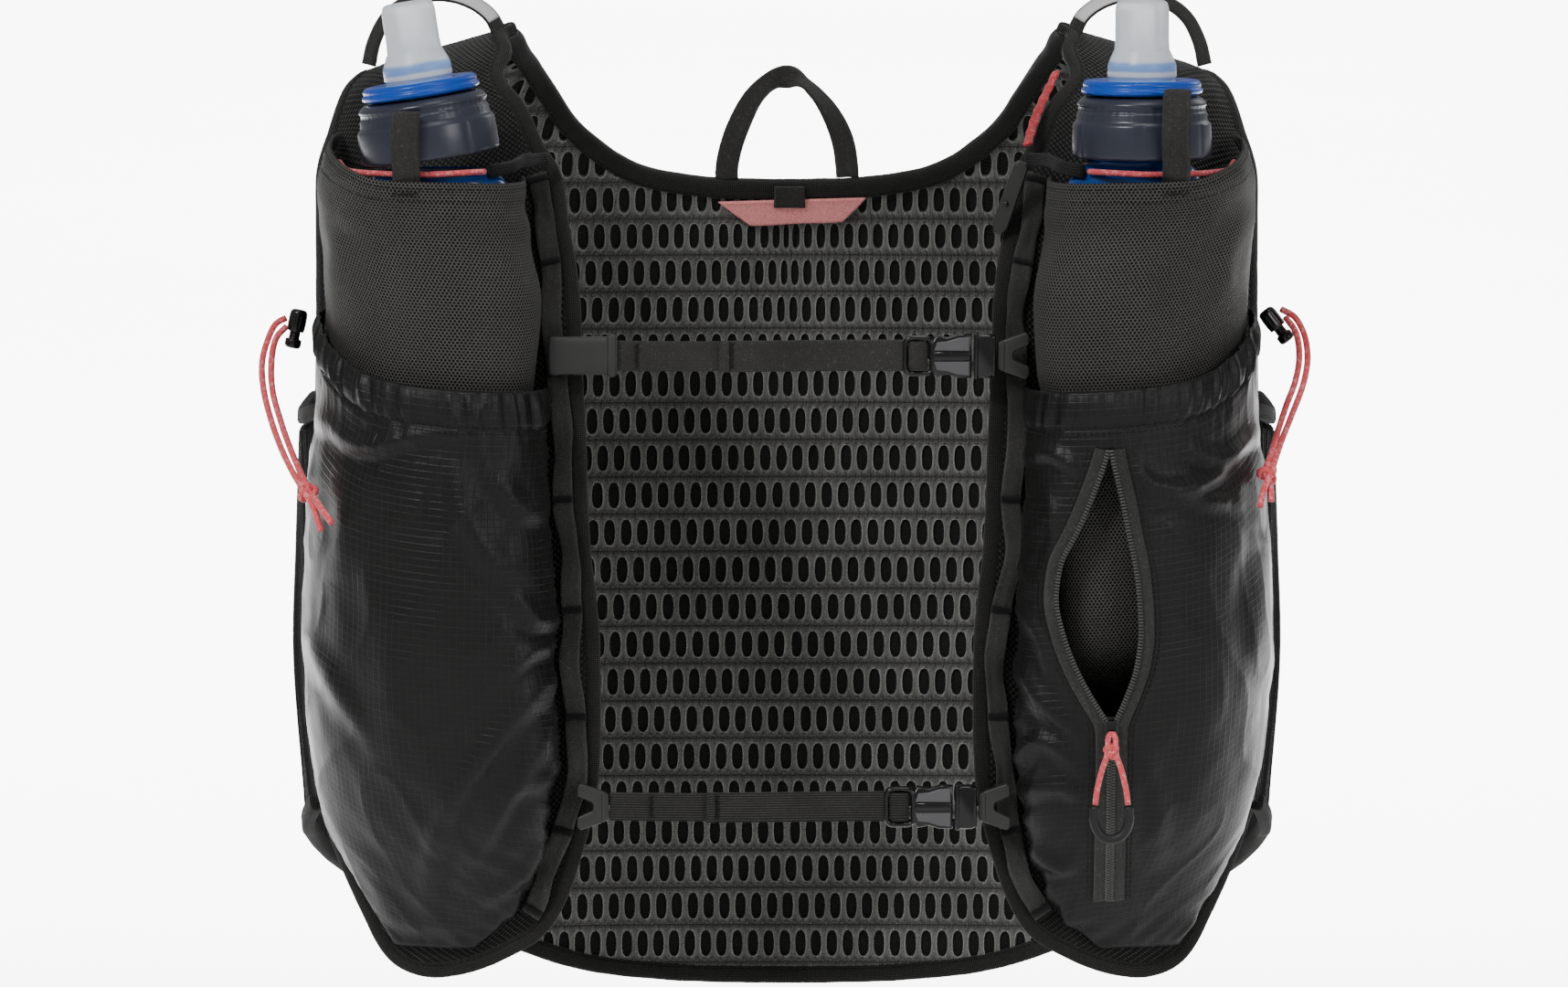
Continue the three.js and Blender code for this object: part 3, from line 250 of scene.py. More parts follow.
class Mat:
    def __init__(self, name, **sockets):
        self.m = bpy.data.materials.new(name)
        self.m.use_nodes = True
        self.nt = self.m.node_tree
        self.bsdf = next(n for n in self.nt.nodes if n.type == "BSDF_PRINCIPLED")
        for k, v in sockets.items():
            self.bsdf.inputs[k.replace("_", " ")].default_value = v
        self.uv = None

    def node(self, kind, **props):
        n = self.nt.nodes.new(kind)
        for k, v in props.items():
            setattr(n, k, v)
        return n

    def put(self, socket, value):
        if isinstance(value, (int, float)):
            socket.default_value = value
        elif isinstance(value, tuple):
            socket.default_value = value
        else:
            self.nt.links.new(value, socket)

    def math(self, op, a, b=0.0, c=None):
        n = self.node("ShaderNodeMath", operation=op)
        self.put(n.inputs[0], a)
        self.put(n.inputs[1], b)
        if c is not None:
            self.put(n.inputs[2], c)
        return n.outputs[0]

    def coords(self):
        if self.uv is None:
            t = self.node("ShaderNodeUVMap")
            s = self.node("ShaderNodeSeparateXYZ")
            self.nt.links.new(t.outputs[0], s.inputs[0])
            self.uv = (t.outputs[0], s.outputs[0], s.outputs[1])
        return self.uv

    def place(self):
        return self.node("ShaderNodeTexCoord").outputs["Object"]

    def noise(self, scale, detail=3.0, vector=None, rough=0.55):
        n = self.node("ShaderNodeTexNoise")
        n.inputs["Scale"].default_value = scale
        n.inputs["Detail"].default_value = detail
        n.inputs["Roughness"].default_value = rough
        self.nt.links.new(self.place() if vector is None else vector, n.inputs["Vector"])
        return n.outputs[0]

    def range(self, x, a, b, c, d):
        n = self.node("ShaderNodeMapRange")
        self.put(n.inputs["Value"], x)
        for k, v in zip(("From Min", "From Max", "To Min", "To Max"), (a, b, c, d)):
            n.inputs[k].default_value = v
        return n.outputs[0]

    def mix(self, f, a, b):
        n = self.node("ShaderNodeMix", data_type="RGBA")
        self.put(n.inputs["Factor"] if not hasattr(n.inputs[0], "default_value") else n.inputs[0], f)
        self.put(n.inputs[6], a)
        self.put(n.inputs[7], b)
        return n.outputs[2]

    def base(self, value):
        self.put(self.bsdf.inputs["Base Color"], value)

    def rough(self, value):
        self.put(self.bsdf.inputs["Roughness"], value)

    def bump(self, height, distance, strength=1.0, below=None):
        n = self.node("ShaderNodeBump")
        n.inputs["Distance"].default_value = distance
        n.inputs["Strength"].default_value = strength
        self.nt.links.new(height, n.inputs["Height"])
        if below is not None:
            self.nt.links.new(below, n.inputs["Normal"])
        self.nt.links.new(n.outputs[0], self.bsdf.inputs["Normal"])
        return n.outputs[0]

    def wave(self, x, pitch):
        """0 to 1, a cosine of the coordinate."""
        return self.math("MULTIPLY_ADD", self.math("COSINE", self.math("MULTIPLY", x, 2 * math.pi / pitch)), 0.5, 0.5)

    def lattice(self, x, y, px, py):
        """Distance from the nearest point of two interleaved grids, in units of px."""
        def one(off):
            a = self.math("SUBTRACT", self.math("FRACT", self.math("ADD", self.math("DIVIDE", x, px), off)), 0.5)
            b = self.math("SUBTRACT", self.math("FRACT", self.math("ADD", self.math("DIVIDE", y, py), off)), 0.5)
            b = self.math("MULTIPLY", b, py / px)
            return self.math("SQRT", self.math("ADD", self.math("MULTIPLY", a, a), self.math("MULTIPLY", b, b)))
        return self.math("MINIMUM", one(0.0), one(0.5))


def cloth(name, colour, dark, kind, pitch, depth, rough=0.82, sheen=0.1, vary=0.18, hole=0.3, aspect=1.73, spec=0.14, painted_highlight=None, dim=0.7):
    colour = tuple(c * dim for c in colour[:3]) + (1,)
    dark = tuple(c * dim * 0.8 for c in dark[:3]) + (1,)
    painted_highlight = None if painted_highlight is None else tuple(c * dim for c in painted_highlight[:3]) + (1,)
    m = Mat(name, Roughness=rough, Sheen_Weight=sheen, Sheen_Roughness=0.4, Specular_IOR_Level=spec)
    _, u, v = m.coords()
    mottle = m.range(m.noise(38, 4), 0.3, 0.7, 1 - vary, 1 + vary)
    grain = m.range(m.noise(1400, 2), 0.3, 0.7, 0.8, 1.2)
    lit = m.math("MULTIPLY", mottle, grain)
    # In every kind the dark colour goes on the low parts of the same relief that drives the bump: painted shade in the
    # mesh holes and in the valleys between the yarns.
    if kind == "mesh":
        d = m.lattice(u, v, pitch, pitch * aspect)
        h = m.range(d, hole * 0.8, hole * 1.25, 0, 1)
        col = m.mix(h, dark, colour)
        height = h
    elif kind == "knit":
        v2 = m.math("ADD", v, m.math("MULTIPLY", m.math("ABSOLUTE", m.math("SUBTRACT", m.math("FRACT", m.math("DIVIDE", u, pitch)), 0.5)), pitch * 1.1))
        h = m.math("MULTIPLY", m.wave(u, pitch), m.wave(v2, pitch * 0.8))
        col = m.mix(m.range(h, 0, 0.8, 0, 1), dark, colour)
        height = h
    elif kind == "rib":
        h = m.wave(u, pitch)
        fine = m.wave(v, pitch * 0.45)
        height = m.math("ADD", h, m.math("MULTIPLY", fine, 0.3))
        col = m.mix(m.range(h, 0, 0.9, 0, 1), dark, colour)
    elif kind == "herring":
        zig = m.math("MULTIPLY", m.math("ABSOLUTE", m.math("SUBTRACT", m.math("FRACT", m.math("DIVIDE", u, 4.2)), 0.5)), 4.2)
        h1 = m.wave(m.math("ADD", v, m.math("MULTIPLY", zig, 1.4)), pitch)
        h2 = m.wave(u, pitch * 0.62)
        height = m.math("MULTIPLY", h1, m.math("MULTIPLY_ADD", h2, 0.5, 0.5))
        fleck = m.range(m.noise(900, 1), 0.6, 0.75, 0, 0.55)
        col = m.mix(m.range(height, 0.05, 0.7, 0, 1), dark, colour)
        col = m.mix(m.math("MULTIPLY", fleck, height), col, (min(1, colour[0] * 2.6), min(1, colour[1] * 2.6), min(1, colour[2] * 2.6), 1))
    else:
        h = m.math("MULTIPLY", m.wave(u, pitch), m.wave(v, pitch))
        col = m.mix(h, dark, colour)
        height = h
    # Painted highlight: a per-vertex attribute blends the colour towards a lighter one on the rims and walls of the
    # spacer mesh's holes and on its yarn knots.
    if painted_highlight is not None:
        a = m.node("ShaderNodeAttribute", attribute_name="painted_highlight")
        col = m.mix(a.outputs["Fac"], col, painted_highlight)
    mul = m.node("ShaderNodeMix", data_type="RGBA", blend_type="MULTIPLY")
    mul.inputs[0].default_value = 1.0
    m.put(mul.inputs[6], col)
    comb = m.node("ShaderNodeCombineColor")
    for i in range(3):
        m.put(comb.inputs[i], lit)
    m.put(mul.inputs[7], comb.outputs[0])
    m.base(mul.outputs[2])
    m.rough(m.range(m.noise(60, 3), 0.3, 0.7, rough - 0.06, rough + 0.06))
    m.bump(height, depth * 0.001, 0.9)
    return m.m


M = {}
# rgb(206, 206, 200) is the painted highlight colour for the rims and walls of the spacer's holes.
M["spacer"] = cloth("spacer mesh knit", rgb(104, 103, 100), rgb(60), "knit", 1.15, 0.5, painted_highlight=rgb(206, 206, 200), sheen=0.2, rough=0.75)
M["backing"] = cloth("fine backing mesh", rgb(40, 40, 39), rgb(20), "mesh", 1.0, 0.3, hole=0.3)
M["outside"] = cloth("outer face knit", rgb(58, 58, 57), rgb(28), "mesh", 1.6, 0.4, hole=0.28)
M["shoulder"] = cloth("shoulder diamond mesh", rgb(70, 69, 66), rgb(14, 14, 14), "mesh", 2.3, 0.7, hole=0.34, aspect=1.05, vary=0.5, rough=0.5)
M["binding"] = cloth("binding knit", rgb(86, 85, 82), rgb(27), "weave", 0.62, 0.18, sheen=0.14, rough=0.9)
M["power"] = cloth("power mesh", rgb(94, 93, 89), rgb(12, 12, 12), "mesh", 1.45, 0.4, hole=0.31, aspect=1.5, sheen=0.05, rough=0.7, vary=0.1)
M["webbing"] = cloth("webbing herringbone", rgb(90, 89, 86), rgb(24), "herring", 0.85, 0.32, rough=0.66)
M["chain"] = cloth("daisy chain webbing", rgb(92, 92, 88), rgb(22), "herring", 0.9, 0.4, rough=0.55, spec=0.3)
M["elastic"] = cloth("elastic webbing", rgb(70, 69, 67), rgb(40), "rib", 0.9, 0.2, rough=0.75)
M["sideknit"] = cloth("ribbed side knit", rgb(42, 42, 41), rgb(18), "rib", 2.0, 0.6, rough=0.85)
M["tape"] = cloth("zip tape weave", rgb(94, 94, 91), rgb(34), "herring", 0.7, 0.24, rough=0.7)
M["anchor"] = cloth("narrow webbing", rgb(48), rgb(16), "knit", 0.8, 0.3, rough=0.7)
M["labelcloth"] = cloth("label satin", rgb(255, 172, 170), rgb(250, 144, 144), "rib", 0.5, 0.08, rough=0.5, sheen=0.1, vary=0.04, dim=1.0)
M["thread"] = cloth("sewing thread", rgb(52, 52, 51), rgb(26), "weave", 0.5, 0.1, rough=0.55, sheen=0.1)
M["threadlight"] = cloth("bar tack thread", rgb(40), rgb(14), "rib", 0.4, 0.2, rough=0.6, sheen=0.1)


def ripstop():
    m = Mat("glossy ripstop", Roughness=0.38, IOR=1.3, Specular_IOR_Level=0.6)
    _, u, v = m.coords()
    fine = m.math("MULTIPLY", m.wave(u, 0.42), m.wave(v, 0.42))
    def line(x, pitch, wide):
        f = m.math("ABSOLUTE", m.math("SUBTRACT", m.math("FRACT", m.math("DIVIDE", x, pitch)), 0.5))
        return m.range(f, 0.0, wide, 1, 0)
    grid = m.math("MAXIMUM", line(u, 2.6, 0.09), line(v, 2.6, 0.09))
    mottle = m.range(m.noise(22, 5), 0.3, 0.7, 0, 1)
    col = m.mix(mottle, rgb(16, 16, 15.5), rgb(23, 23, 22.5))
    col = m.mix(m.math("MULTIPLY", grid, 0.55), col, rgb(32, 32, 31))
    m.base(col)
    m.rough(m.range(m.noise(45, 4), 0.3, 0.7, 0.34, 0.48))
    crease = m.noise(120, 3)
    b0 = m.bump(crease, 0.0006, 0.5)
    m.bump(m.math("ADD", m.math("MULTIPLY", fine, 0.35), grid), 0.00012, 0.6, below=b0)
    return m.m


M["ripstop"] = ripstop()


def plastic(name, colour, rough, spec=0.4, grain=0.00002, scale=900, coat=0.0, dark=0.85, dim=0.72):
    colour = tuple(c * dim for c in colour[:3]) + (1,)
    m = Mat(name, Roughness=rough, Specular_IOR_Level=spec, Coat_Weight=coat, Coat_Roughness=0.12)
    c2 = (colour[0] * dark, colour[1] * dark, colour[2] * dark, 1)
    m.base(m.mix(m.range(m.noise(70, 4), 0.3, 0.7, 0, 1), c2, colour))
    m.rough(m.range(m.noise(160, 5), 0.3, 0.7, max(0.05, rough - 0.05), rough + 0.07))
    m.bump(m.noise(scale, 3), grain, 0.7)
    return m.m


M["gloss"] = plastic("gloss black plastic", rgb(17), 0.24, coat=0.25)
M["satin"] = plastic("satin plastic", rgb(60, 60, 58), 0.42, grain=0.00005)
M["rubber"] = plastic("soft rubber", rgb(60, 60, 59), 0.5, grain=0.00004, spec=0.35)
M["griprubber"] = plastic("grip rubber", rgb(36, 36, 36), 0.5, grain=0.00003, spec=0.4)
M["greyface"] = plastic("grey buckle face", rgb(104, 104, 106), 0.3, grain=0.00002)
M["blue"] = plastic("blue collar plastic", rgb(0, 84, 206), 0.3, coat=0.1, dark=0.9, dim=0.72)
M["teeth"] = plastic("zip coil nylon", rgb(84, 84, 82), 0.4)


def reflective():
    m = Mat("reflective tape", Roughness=0.42, Specular_IOR_Level=0.6)
    _, u, v = m.coords()
    d = m.lattice(u, v, 0.5, 0.86)
    m.base(m.mix(m.range(d, 0.2, 0.45, 0, 1), rgb(214, 214, 213), rgb(188, 188, 188)))
    m.rough(m.range(m.noise(60, 3), 0.3, 0.7, 0.36, 0.5))
    m.bump(d, 0.00004, 0.5)
    return m.m


M["reflective"] = reflective()


def cord_mat(name, light, mid, dark, ribs):
    m = Mat(name, Roughness=0.58, Sheen_Weight=0.3, Specular_IOR_Level=0.35)
    _, u, v = m.coords()
    a = m.wave(m.math("ADD", m.math("MULTIPLY", u, ribs), m.math("MULTIPLY", v, 1.0)), 1.15)
    b = m.wave(m.math("SUBTRACT", m.math("MULTIPLY", u, ribs), m.math("MULTIPLY", v, 1.0)), 1.15)
    h = m.math("MAXIMUM", a, b)
    speck = m.range(m.noise(700, 2), 0.5, 0.66, 0, 1)
    # The dark colour fills the grooves between the braided strands: painted shade. The light specks are random.
    col = m.mix(m.range(h, 0.2, 0.95, 0, 1), dark, mid)
    col = m.mix(m.math("MULTIPLY", speck, 0.75), col, light)
    m.base(col)
    m.rough(m.range(m.noise(90, 2), 0.3, 0.7, 0.5, 0.66))
    m.bump(h, 0.00014, 0.8)
    return m.m


M["pink"] = cord_mat("pink elastic cord", rgb(255, 160, 162), rgb(240, 88, 96), rgb(200, 52, 64), 1.0)
M["lanyardcord"] = cord_mat("red lanyard braid", rgb(232, 92, 100), rgb(206, 34, 48), rgb(70, 12, 20), 1.3)


def clear(name, colour, rough, transmission, ior=1.45, bump=0.0, scale=60, dark=0.8):
    m = Mat(name, Roughness=rough, Transmission_Weight=transmission, IOR=ior)
    c2 = (colour[0] * dark, colour[1] * dark, colour[2] * dark, 1)
    m.base(m.mix(m.range(m.noise(24, 3), 0.35, 0.65, 0, 1), c2, colour))
    m.rough(m.range(m.noise(50, 3), 0.3, 0.7, max(0.02, rough - 0.05), rough + 0.06))
    m.bump(m.noise(scale, 3), max(bump, 0.00002), 0.6)
    return m.m


M["film"] = clear("blue flask film", rgb(0, 80, 170), 0.16, 0.15, bump=0.0012, scale=34, dark=0.55)
M["cap"] = clear("smoky cap plastic", rgb(50, 53, 66), 0.3, 0.1, dark=0.86)
M["valve"] = clear("milky valve silicone", rgb(226, 232, 238), 0.34, 0.35, ior=1.4, dark=0.96)
M["valveblue"] = clear("blue inside the valve", rgb(120, 178, 236), 0.3, 0.2, dark=0.9)


# ---------------------------------------------------------------- mesh builders (mm in, metres out)
def build(name, V, F, UV=None, mat=None, slot=None, body="root", replaces=(), fmat=None, painted_highlight=None, flat=False):
    me = bpy.data.meshes.new(name)
    me.from_pydata((np.asarray(V) * 0.001).tolist(), [], [list(map(int, f)) for f in F])
    mats = mat if isinstance(mat, (list, tuple)) else [mat]
    for k in mats:
        me.materials.append(M[k])
    n = len(me.polygons)
    me.polygons.foreach_set("use_smooth", np.full(n, not flat))
    if fmat is not None:
        me.polygons.foreach_set("material_index", np.asarray(fmat, np.int32))
    layer = me.uv_layers.new(name="UVMap")
    if UV is None:
        co = np.asarray(V)
        idx = np.concatenate([np.asarray(f) for f in F])
        UV = co[idx][:, [0, 2]]
    layer.data.foreach_set("uv", np.asarray(UV, np.float32).ravel())
    # Per-vertex strength of the painted highlight, which the material reads.
    if painted_highlight is not None:
        a = me.attributes.new("painted_highlight", "FLOAT", "POINT")
        a.data.foreach_set("value", np.asarray(painted_highlight, np.float32))
    me.update()
    me.validate()
    o = bpy.data.objects.new(name, me)
    scene.collection.objects.link(o)
    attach(o, body)
    for r in replaces:
        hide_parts(r)
    return o


def sweep_data(P, A, F, profile, closed=False, scale=None, puff=None):
    """A section carried along stations. Gives vertices, faces and loop UVs in mm."""
    P, A, F = (np.asarray(q, float) for q in (P, A, F))
    n, k = len(P), len(profile)
    pr = np.asarray(profile, float)
    S = np.ones((n, 1)) if scale is None else np.asarray(scale, float)[:, None]
    V = P[:, None, :] + (S * pr[None, :, 0])[..., None] * A[:, None, :] + (S * pr[None, :, 1])[..., None] * F[:, None, :]
    if puff is not None:
        V = V + puff
    V = V.reshape(-1, 3)
    ring = np.vstack([pr, pr[:1]])
    pu = along(ring)
    Pc = np.vstack([P, P[:1]]) if closed else P
    sv = along(Pc)
    m = n if closed else n - 1
    i = np.repeat(np.arange(m), k)
    j = np.tile(np.arange(k), m)
    j2, i2 = (j + 1) % k, (i + 1) % n
    faces = np.stack([i * k + j, i * k + j2, i2 * k + j2, i2 * k + j], -1)
    uv = np.stack([np.stack([pu[j], sv[i]], -1), np.stack([pu[j + 1], sv[i]], -1),
                   np.stack([pu[j + 1], sv[i + 1]], -1), np.stack([pu[j], sv[i + 1]], -1)], 1).reshape(-1, 2)
    faces = faces.tolist()
    if not closed:
        a, b = list(range(k))[::-1], [(n - 1) * k + q for q in range(k)]
        faces += [a, b]
        uv = np.vstack([uv, pr[a], pr[::1]])
    return V, faces, uv


def outward(V, faces, uv):
    """Turns every face round if the closed shape came out inside out."""
    V = np.asarray(V)
    vol = 0.0
    for f in faces:
        p = V[f]
        for q in range(1, len(f) - 1):
            vol += np.dot(p[0], np.cross(p[q], p[q + 1]))
    if vol < 0:
        out, pos, new = [], 0, []
        for f in faces:
            k = len(f)
            out.append(f[::-1])
            new.append(uv[pos:pos + k][::-1])
            pos += k
        return V, out, np.vstack(new)
    return V, faces, uv


def sweep(name, P, A, F, profile, mat, slot=None, closed=False, scale=None, puff=None, **kw):
    V, f, uv = outward(*sweep_data(P, A, F, profile, closed, scale, puff))
    return build(name, V, f, uv, mat, slot, **kw)


def rounded(w, t, n=16, power=3.2):
    a = np.arange(n) / n * 2 * math.pi
    c, s = np.cos(a), np.sin(a)
    return np.stack([w / 2 * np.sign(c) * np.abs(c) ** (2 / power), t / 2 * np.sign(s) * np.abs(s) ** (2 / power)], -1)


def flat_section(w, t, across=8, bulge=0.0):
    x = np.linspace(-w / 2, w / 2, across + 1)
    top = t / 2 + bulge * (1 - (2 * x / w) ** 2)
    a = np.stack([x, top], -1)
    a[0, 1] = a[-1, 1] = t * 0.2
    b = np.stack([x[::-1], np.full(across + 1, -t / 2)], -1)
    b[0, 1] = b[-1, 1] = -t * 0.2
    return np.vstack([a, b])


def frames(P, ref=(0, 0, 1), closed=False):
    """Across and face directions without twist, from a starting direction."""
    T = tangents(P, closed)
    F = np.empty_like(P)
    f = np.array(ref, float) - np.dot(ref, T[0]) * T[0]
    F[0] = f / np.linalg.norm(f)
    for i in range(1, len(P)):
        f = F[i - 1] - np.dot(F[i - 1], T[i]) * T[i]
        F[i] = f / np.linalg.norm(f)
    return unit(np.cross(T, F)), F


def tube_data(P, dia, sides=12, closed=False, scale=None):
    A, F = frames(P, (0.13, 0.31, 0.94), closed)
    return outward(*sweep_data(P, A, F, rounded(dia, dia, sides, 2.0), closed, scale))


def joined(parts):
    """Several (vertices, faces, uv) as one."""
    Vs, Fs, Us, off = [], [], [], 0
    for V, f, uv in parts:
        Vs.append(V)
        Fs += [[i + off for i in q] for q in f]
        Us.append(uv)
        off += len(V)
    return np.vstack(Vs), Fs, np.vstack(Us)


def trunk_frames(rows, closed=False):
    P = trunk(rows[:, 0], rows[:, 1])
    F = normal(rows[:, 0], rows[:, 1])
    A = unit(np.cross(F, tangents(P, closed)))
    return P, A, F


def grid_solid(P, N, thick, U, Vv, keep=None, back=None):
    """A sheet with a wall: P (nv+1, nu+1, 3), N its outward normals. Gives vertices, faces, uv and which side a face is on."""
    nv, nu = P.shape[0] - 1, P.shape[1] - 1
    t = np.asarray(thick, float)
    t = t[..., None] if t.ndim else t
    front = P + N * t / 2
    rear = P - N * t / 2 if back is None else back
    V = np.vstack([front.reshape(-1, 3), rear.reshape(-1, 3)])
    m = (nu + 1) * (nv + 1)
    j, i = np.mgrid[0:nv, 0:nu]
    a = (j * (nu + 1) + i)
    quads = np.stack([a, a + 1, a + nu + 2, a + nu + 1], -1).reshape(-1, 4)
    if keep is not None:
        quads = quads[keep.ravel()]
    n0 = np.cross(V[quads[:, 1]] - V[quads[:, 0]], V[quads[:, 3]] - V[quads[:, 0]])
    if (n0 * N.reshape(-1, 3)[quads[:, 0]]).sum() < 0:
        quads = quads[:, ::-1]
    e = np.concatenate([quads[:, [0, 1]], quads[:, [1, 2]], quads[:, [2, 3]], quads[:, [3, 0]]])
    key = e[:, 0].astype(np.int64) * m + e[:, 1]
    rev = e[:, 1].astype(np.int64) * m + e[:, 0]
    edge = e[~np.isin(key, rev)]
    walls = np.stack([edge[:, 1], edge[:, 0], edge[:, 0] + m, edge[:, 1] + m], -1)
    faces = np.vstack([quads, (quads + m)[:, ::-1], walls])
    uvv = np.stack([U.ravel(), Vv.ravel()], -1)
    uv = uvv[faces.ravel() % m]
    side = np.concatenate([np.zeros(len(quads)), np.ones(len(quads)), np.full(len(walls), 2)])
    return V, faces.tolist(), uv, side


def grid_normals(P, like):
    du, dv = np.gradient(P, axis=1), np.gradient(P, axis=0)
    N = unit(np.cross(du, dv))
    if (N * like).sum() < 0:
        N = -N
    return N


def grid_uv(P):
    U = np.concatenate([np.zeros((P.shape[0], 1)), np.cumsum(np.linalg.norm(np.diff(P, axis=1), axis=-1), 1)], 1)
    Vv = np.concatenate([np.zeros((1, P.shape[1])), np.cumsum(np.linalg.norm(np.diff(P, axis=0), axis=-1), 0)], 0)
    mid = U.shape[1] // 2
    return U - U[:, mid:mid + 1], -Vv


def area_of(P):
    du, dv = np.diff(P, axis=1)[:-1], np.diff(P, axis=0)[:, :-1]
    return float(np.linalg.norm(np.cross(du, dv), axis=-1).sum()) * 1e-6


def stitch_run(P, N, pitch=2.4, length=1.7, width=0.5, side=None, raised=0.25):
    """Short thread stitches along a line, as one bundle of small rounded bars."""
    L = along(P)
    n = int(L[-1] / pitch)
    s = (np.arange(n) + 0.5) * pitch
    C = np.stack([np.interp(s, L, P[:, k]) for k in range(3)], -1)
    Nn = unit(np.stack([np.interp(s, L, N[:, k]) for k in range(3)], -1))
    T = unit(np.stack([np.interp(s + 0.3, L, P[:, k]) for k in range(3)], -1) - np.stack([np.interp(s - 0.3, L, P[:, k]) for k in range(3)], -1))
    A = unit(np.cross(Nn, T))
    parts = []
    prof = np.array([(-1, 0), (-0.6, 0.8), (0.6, 0.8), (1, 0)])
    st = np.array([-1, -0.6, 0.6, 1])
    hi = np.array([0.1, 1, 1, 0.1])
    grid = (C[:, None, None, :] + T[:, None, None, :] * (st[None, :, None, None] * length / 2)
            + A[:, None, None, :] * (prof[None, None, :, 0:1] * width / 2)
            + Nn[:, None, None, :] * ((prof[None, None, :, 1:2] * hi[None, :, None, None]) * width / 2 + raised - 0.12))
    V = grid.reshape(-1, 3)
    base = np.arange(len(C)) * 16
    f = []
    for i in range(3):
        for j in range(3):
            f.append(base[:, None] + np.array([i * 4 + j, i * 4 + j + 1, (i + 1) * 4 + j + 1, (i + 1) * 4 + j]))
    F = np.vstack(f)
    uv = np.tile(np.array([[0, 0], [1, 0], [1, 1], [0, 1]], float), (len(F), 1))
    return V, F.tolist(), uv


def rows3(*r):
    return np.array(r, float)


SIDES = ((-1, "r"), (1, "l"))

# ---------------------------------------------------------------- cords
CORD_D = 2.4
DRAWCORD = {
    "r": dict(
        outer=rows3((-181, -49, -93.6), (-184.6, -50, -95.6), (-187.6, -53, -101.5), (-189.4, -58, -109.5), (-188.4, -65, -119),
                    (-185.2, -74, -129.5), (-180.6, -86, -139.5), (-176, -96, -147)),
        inner=rows3((-180.9, -51, -96.6), (-184.4, -53.5, -100.5), (-186, -57, -108.6), (-185.4, -63.5, -118.6), (-182, -73, -129.2),
                    (-177.8, -86, -138.5), (-173.6, -97, -146.4)),
        knot=(-171.4, -103, -151.8),
        tails=(rows3((-169, -108.5, -157), (-166, -113.5, -165)), rows3((-166.8, -111, -156), (-162, -117.5, -162)))),
    "l": dict(
        outer=rows3((178.6, -49, -90.4), (183.4, -50.5, -93), (187, -54, -99.5), (187.9, -59, -108), (186, -66, -116.5),
                    (182, -75, -125.6), (178, -84, -134), (175.2, -92, -140.5)),
        inner=rows3((180.2, -51.6, -93.2), (183.8, -55, -98.4), (184.9, -59.5, -106.8), (183.2, -66, -115.2), (179.6, -74, -123.4),
                    (176, -83, -132.6), (173.2, -92.5, -140)),
        knot=(172, -98.5, -146),
        tails=(rows3((170.4, -103.5, -151), (168.8, -107.5, -157)), rows3((172.8, -101, -150.6), (173, -103, -155.4)))),
}


def knot_data(centre, size, dia, turn=0.0, squash=(1, 0.8, 1.1)):
    """An overhand knot pulled tight: a closed trefoil of the cord."""
    t = np.linspace(0, 2 * math.pi, 72, endpoint=False)
    P = np.stack([np.sin(t) + 2 * np.sin(2 * t), -np.sin(3 * t) * 1.1, np.cos(t) - 2 * np.cos(2 * t)], -1) / 3 * size
    P *= np.array(squash)
    c, s = math.cos(turn), math.sin(turn)
    P = np.stack([P[:, 0] * c - P[:, 2] * s, P[:, 1], P[:, 0] * s + P[:, 2] * c], -1) + np.array(centre)
    return tube_data(P, dia, 10, closed=True)


def cord_piece(name, P, dia, mat, slot, **kw):
    P = even(P, step=1.3)
    V, f, uv = tube_data(P, dia, 14)
    return build(name, V, f, uv, mat, slot, **kw), P


for s, n in SIDES:
    D = DRAWCORD[n]
    K = np.array([D["knot"]])
    knot = build("drawcord_knot_" + n, *knot_data(D["knot"], 3.0, 2.35, turn=0.5 * s), "pink", "elastic_cord", replaces=("drawcord_" + n,))
    for k, (strand, tail) in enumerate((("outer", 0), ("inner", 1))):
        shift = np.array([[0.9 * (1 - 2 * k) * s, 0.8 * (2 * k - 1), 0]])
        P = catmull(np.vstack([D[strand], K + shift, D["tails"][tail]]))
        o, P = cord_piece("drawcord_%s_%s" % (strand, n), P, CORD_D, "pink", "elastic_cord", replaces=("drawcord_" + n,))
    zc = -37.5
    P = catmull(rows3((s * 161, -62, zc + 1), (s * 158.5, -84, zc), (s * 154.5, -104, zc), (s * 144, -117.5, zc), (s * 127, -122, zc),
                      (s * 113, -118.5, zc + 0.5), (s * 107.4, -113, zc + 0.5)))
    o, P = cord_piece("flask_cord_" + n + "_strand", P, 2.2, "pink", "elastic_cord", replaces=("flask_cord_" + n,))

ZM, ZS, ZY = 115.4, -235.5, -133.3
leg = lambda k: rows3((ZM + k * 5.8, ZY + 0.6, ZS - 25.6), (ZM + k * 5.2, ZY + 0.5, ZS - 20.5), (ZM + k * 3.4, ZY + 0.2, ZS - 13), (ZM + k * 1.6, ZY, ZS - 7.5),
                      (ZM + k * 1.35, ZY, ZS - 4), (ZM + k * 1.25, ZY, ZS - 1.5))
P = catmull(np.vstack([leg(-1), rows3((ZM, ZY, ZS + 0.2)), leg(1)[::-1]]))
zip_knot = build("zip_pull_knot", *knot_data((ZM, ZY, ZS - 6.2), 2.2, 1.9, turn=0.3), "pink", "elastic_cord", replaces=("zip_pull_cord",))
o, P = cord_piece("zip_pull_strand", P, 2.1, "pink", "elastic_cord", replaces=("zip_pull_cord",))

# ---------------------------------------------------------------- back panel
S200 = np.linspace(0, 90, 721)
L200 = along(trunk(S200, np.full(721, -200.0)))
phi_of = lambda s: np.sign(s) * np.interp(np.abs(s), L200, S200)
NECKC, HEMC, ARMC = catmull(NECK), catmull(HEM), catmull(ARM_BACK)


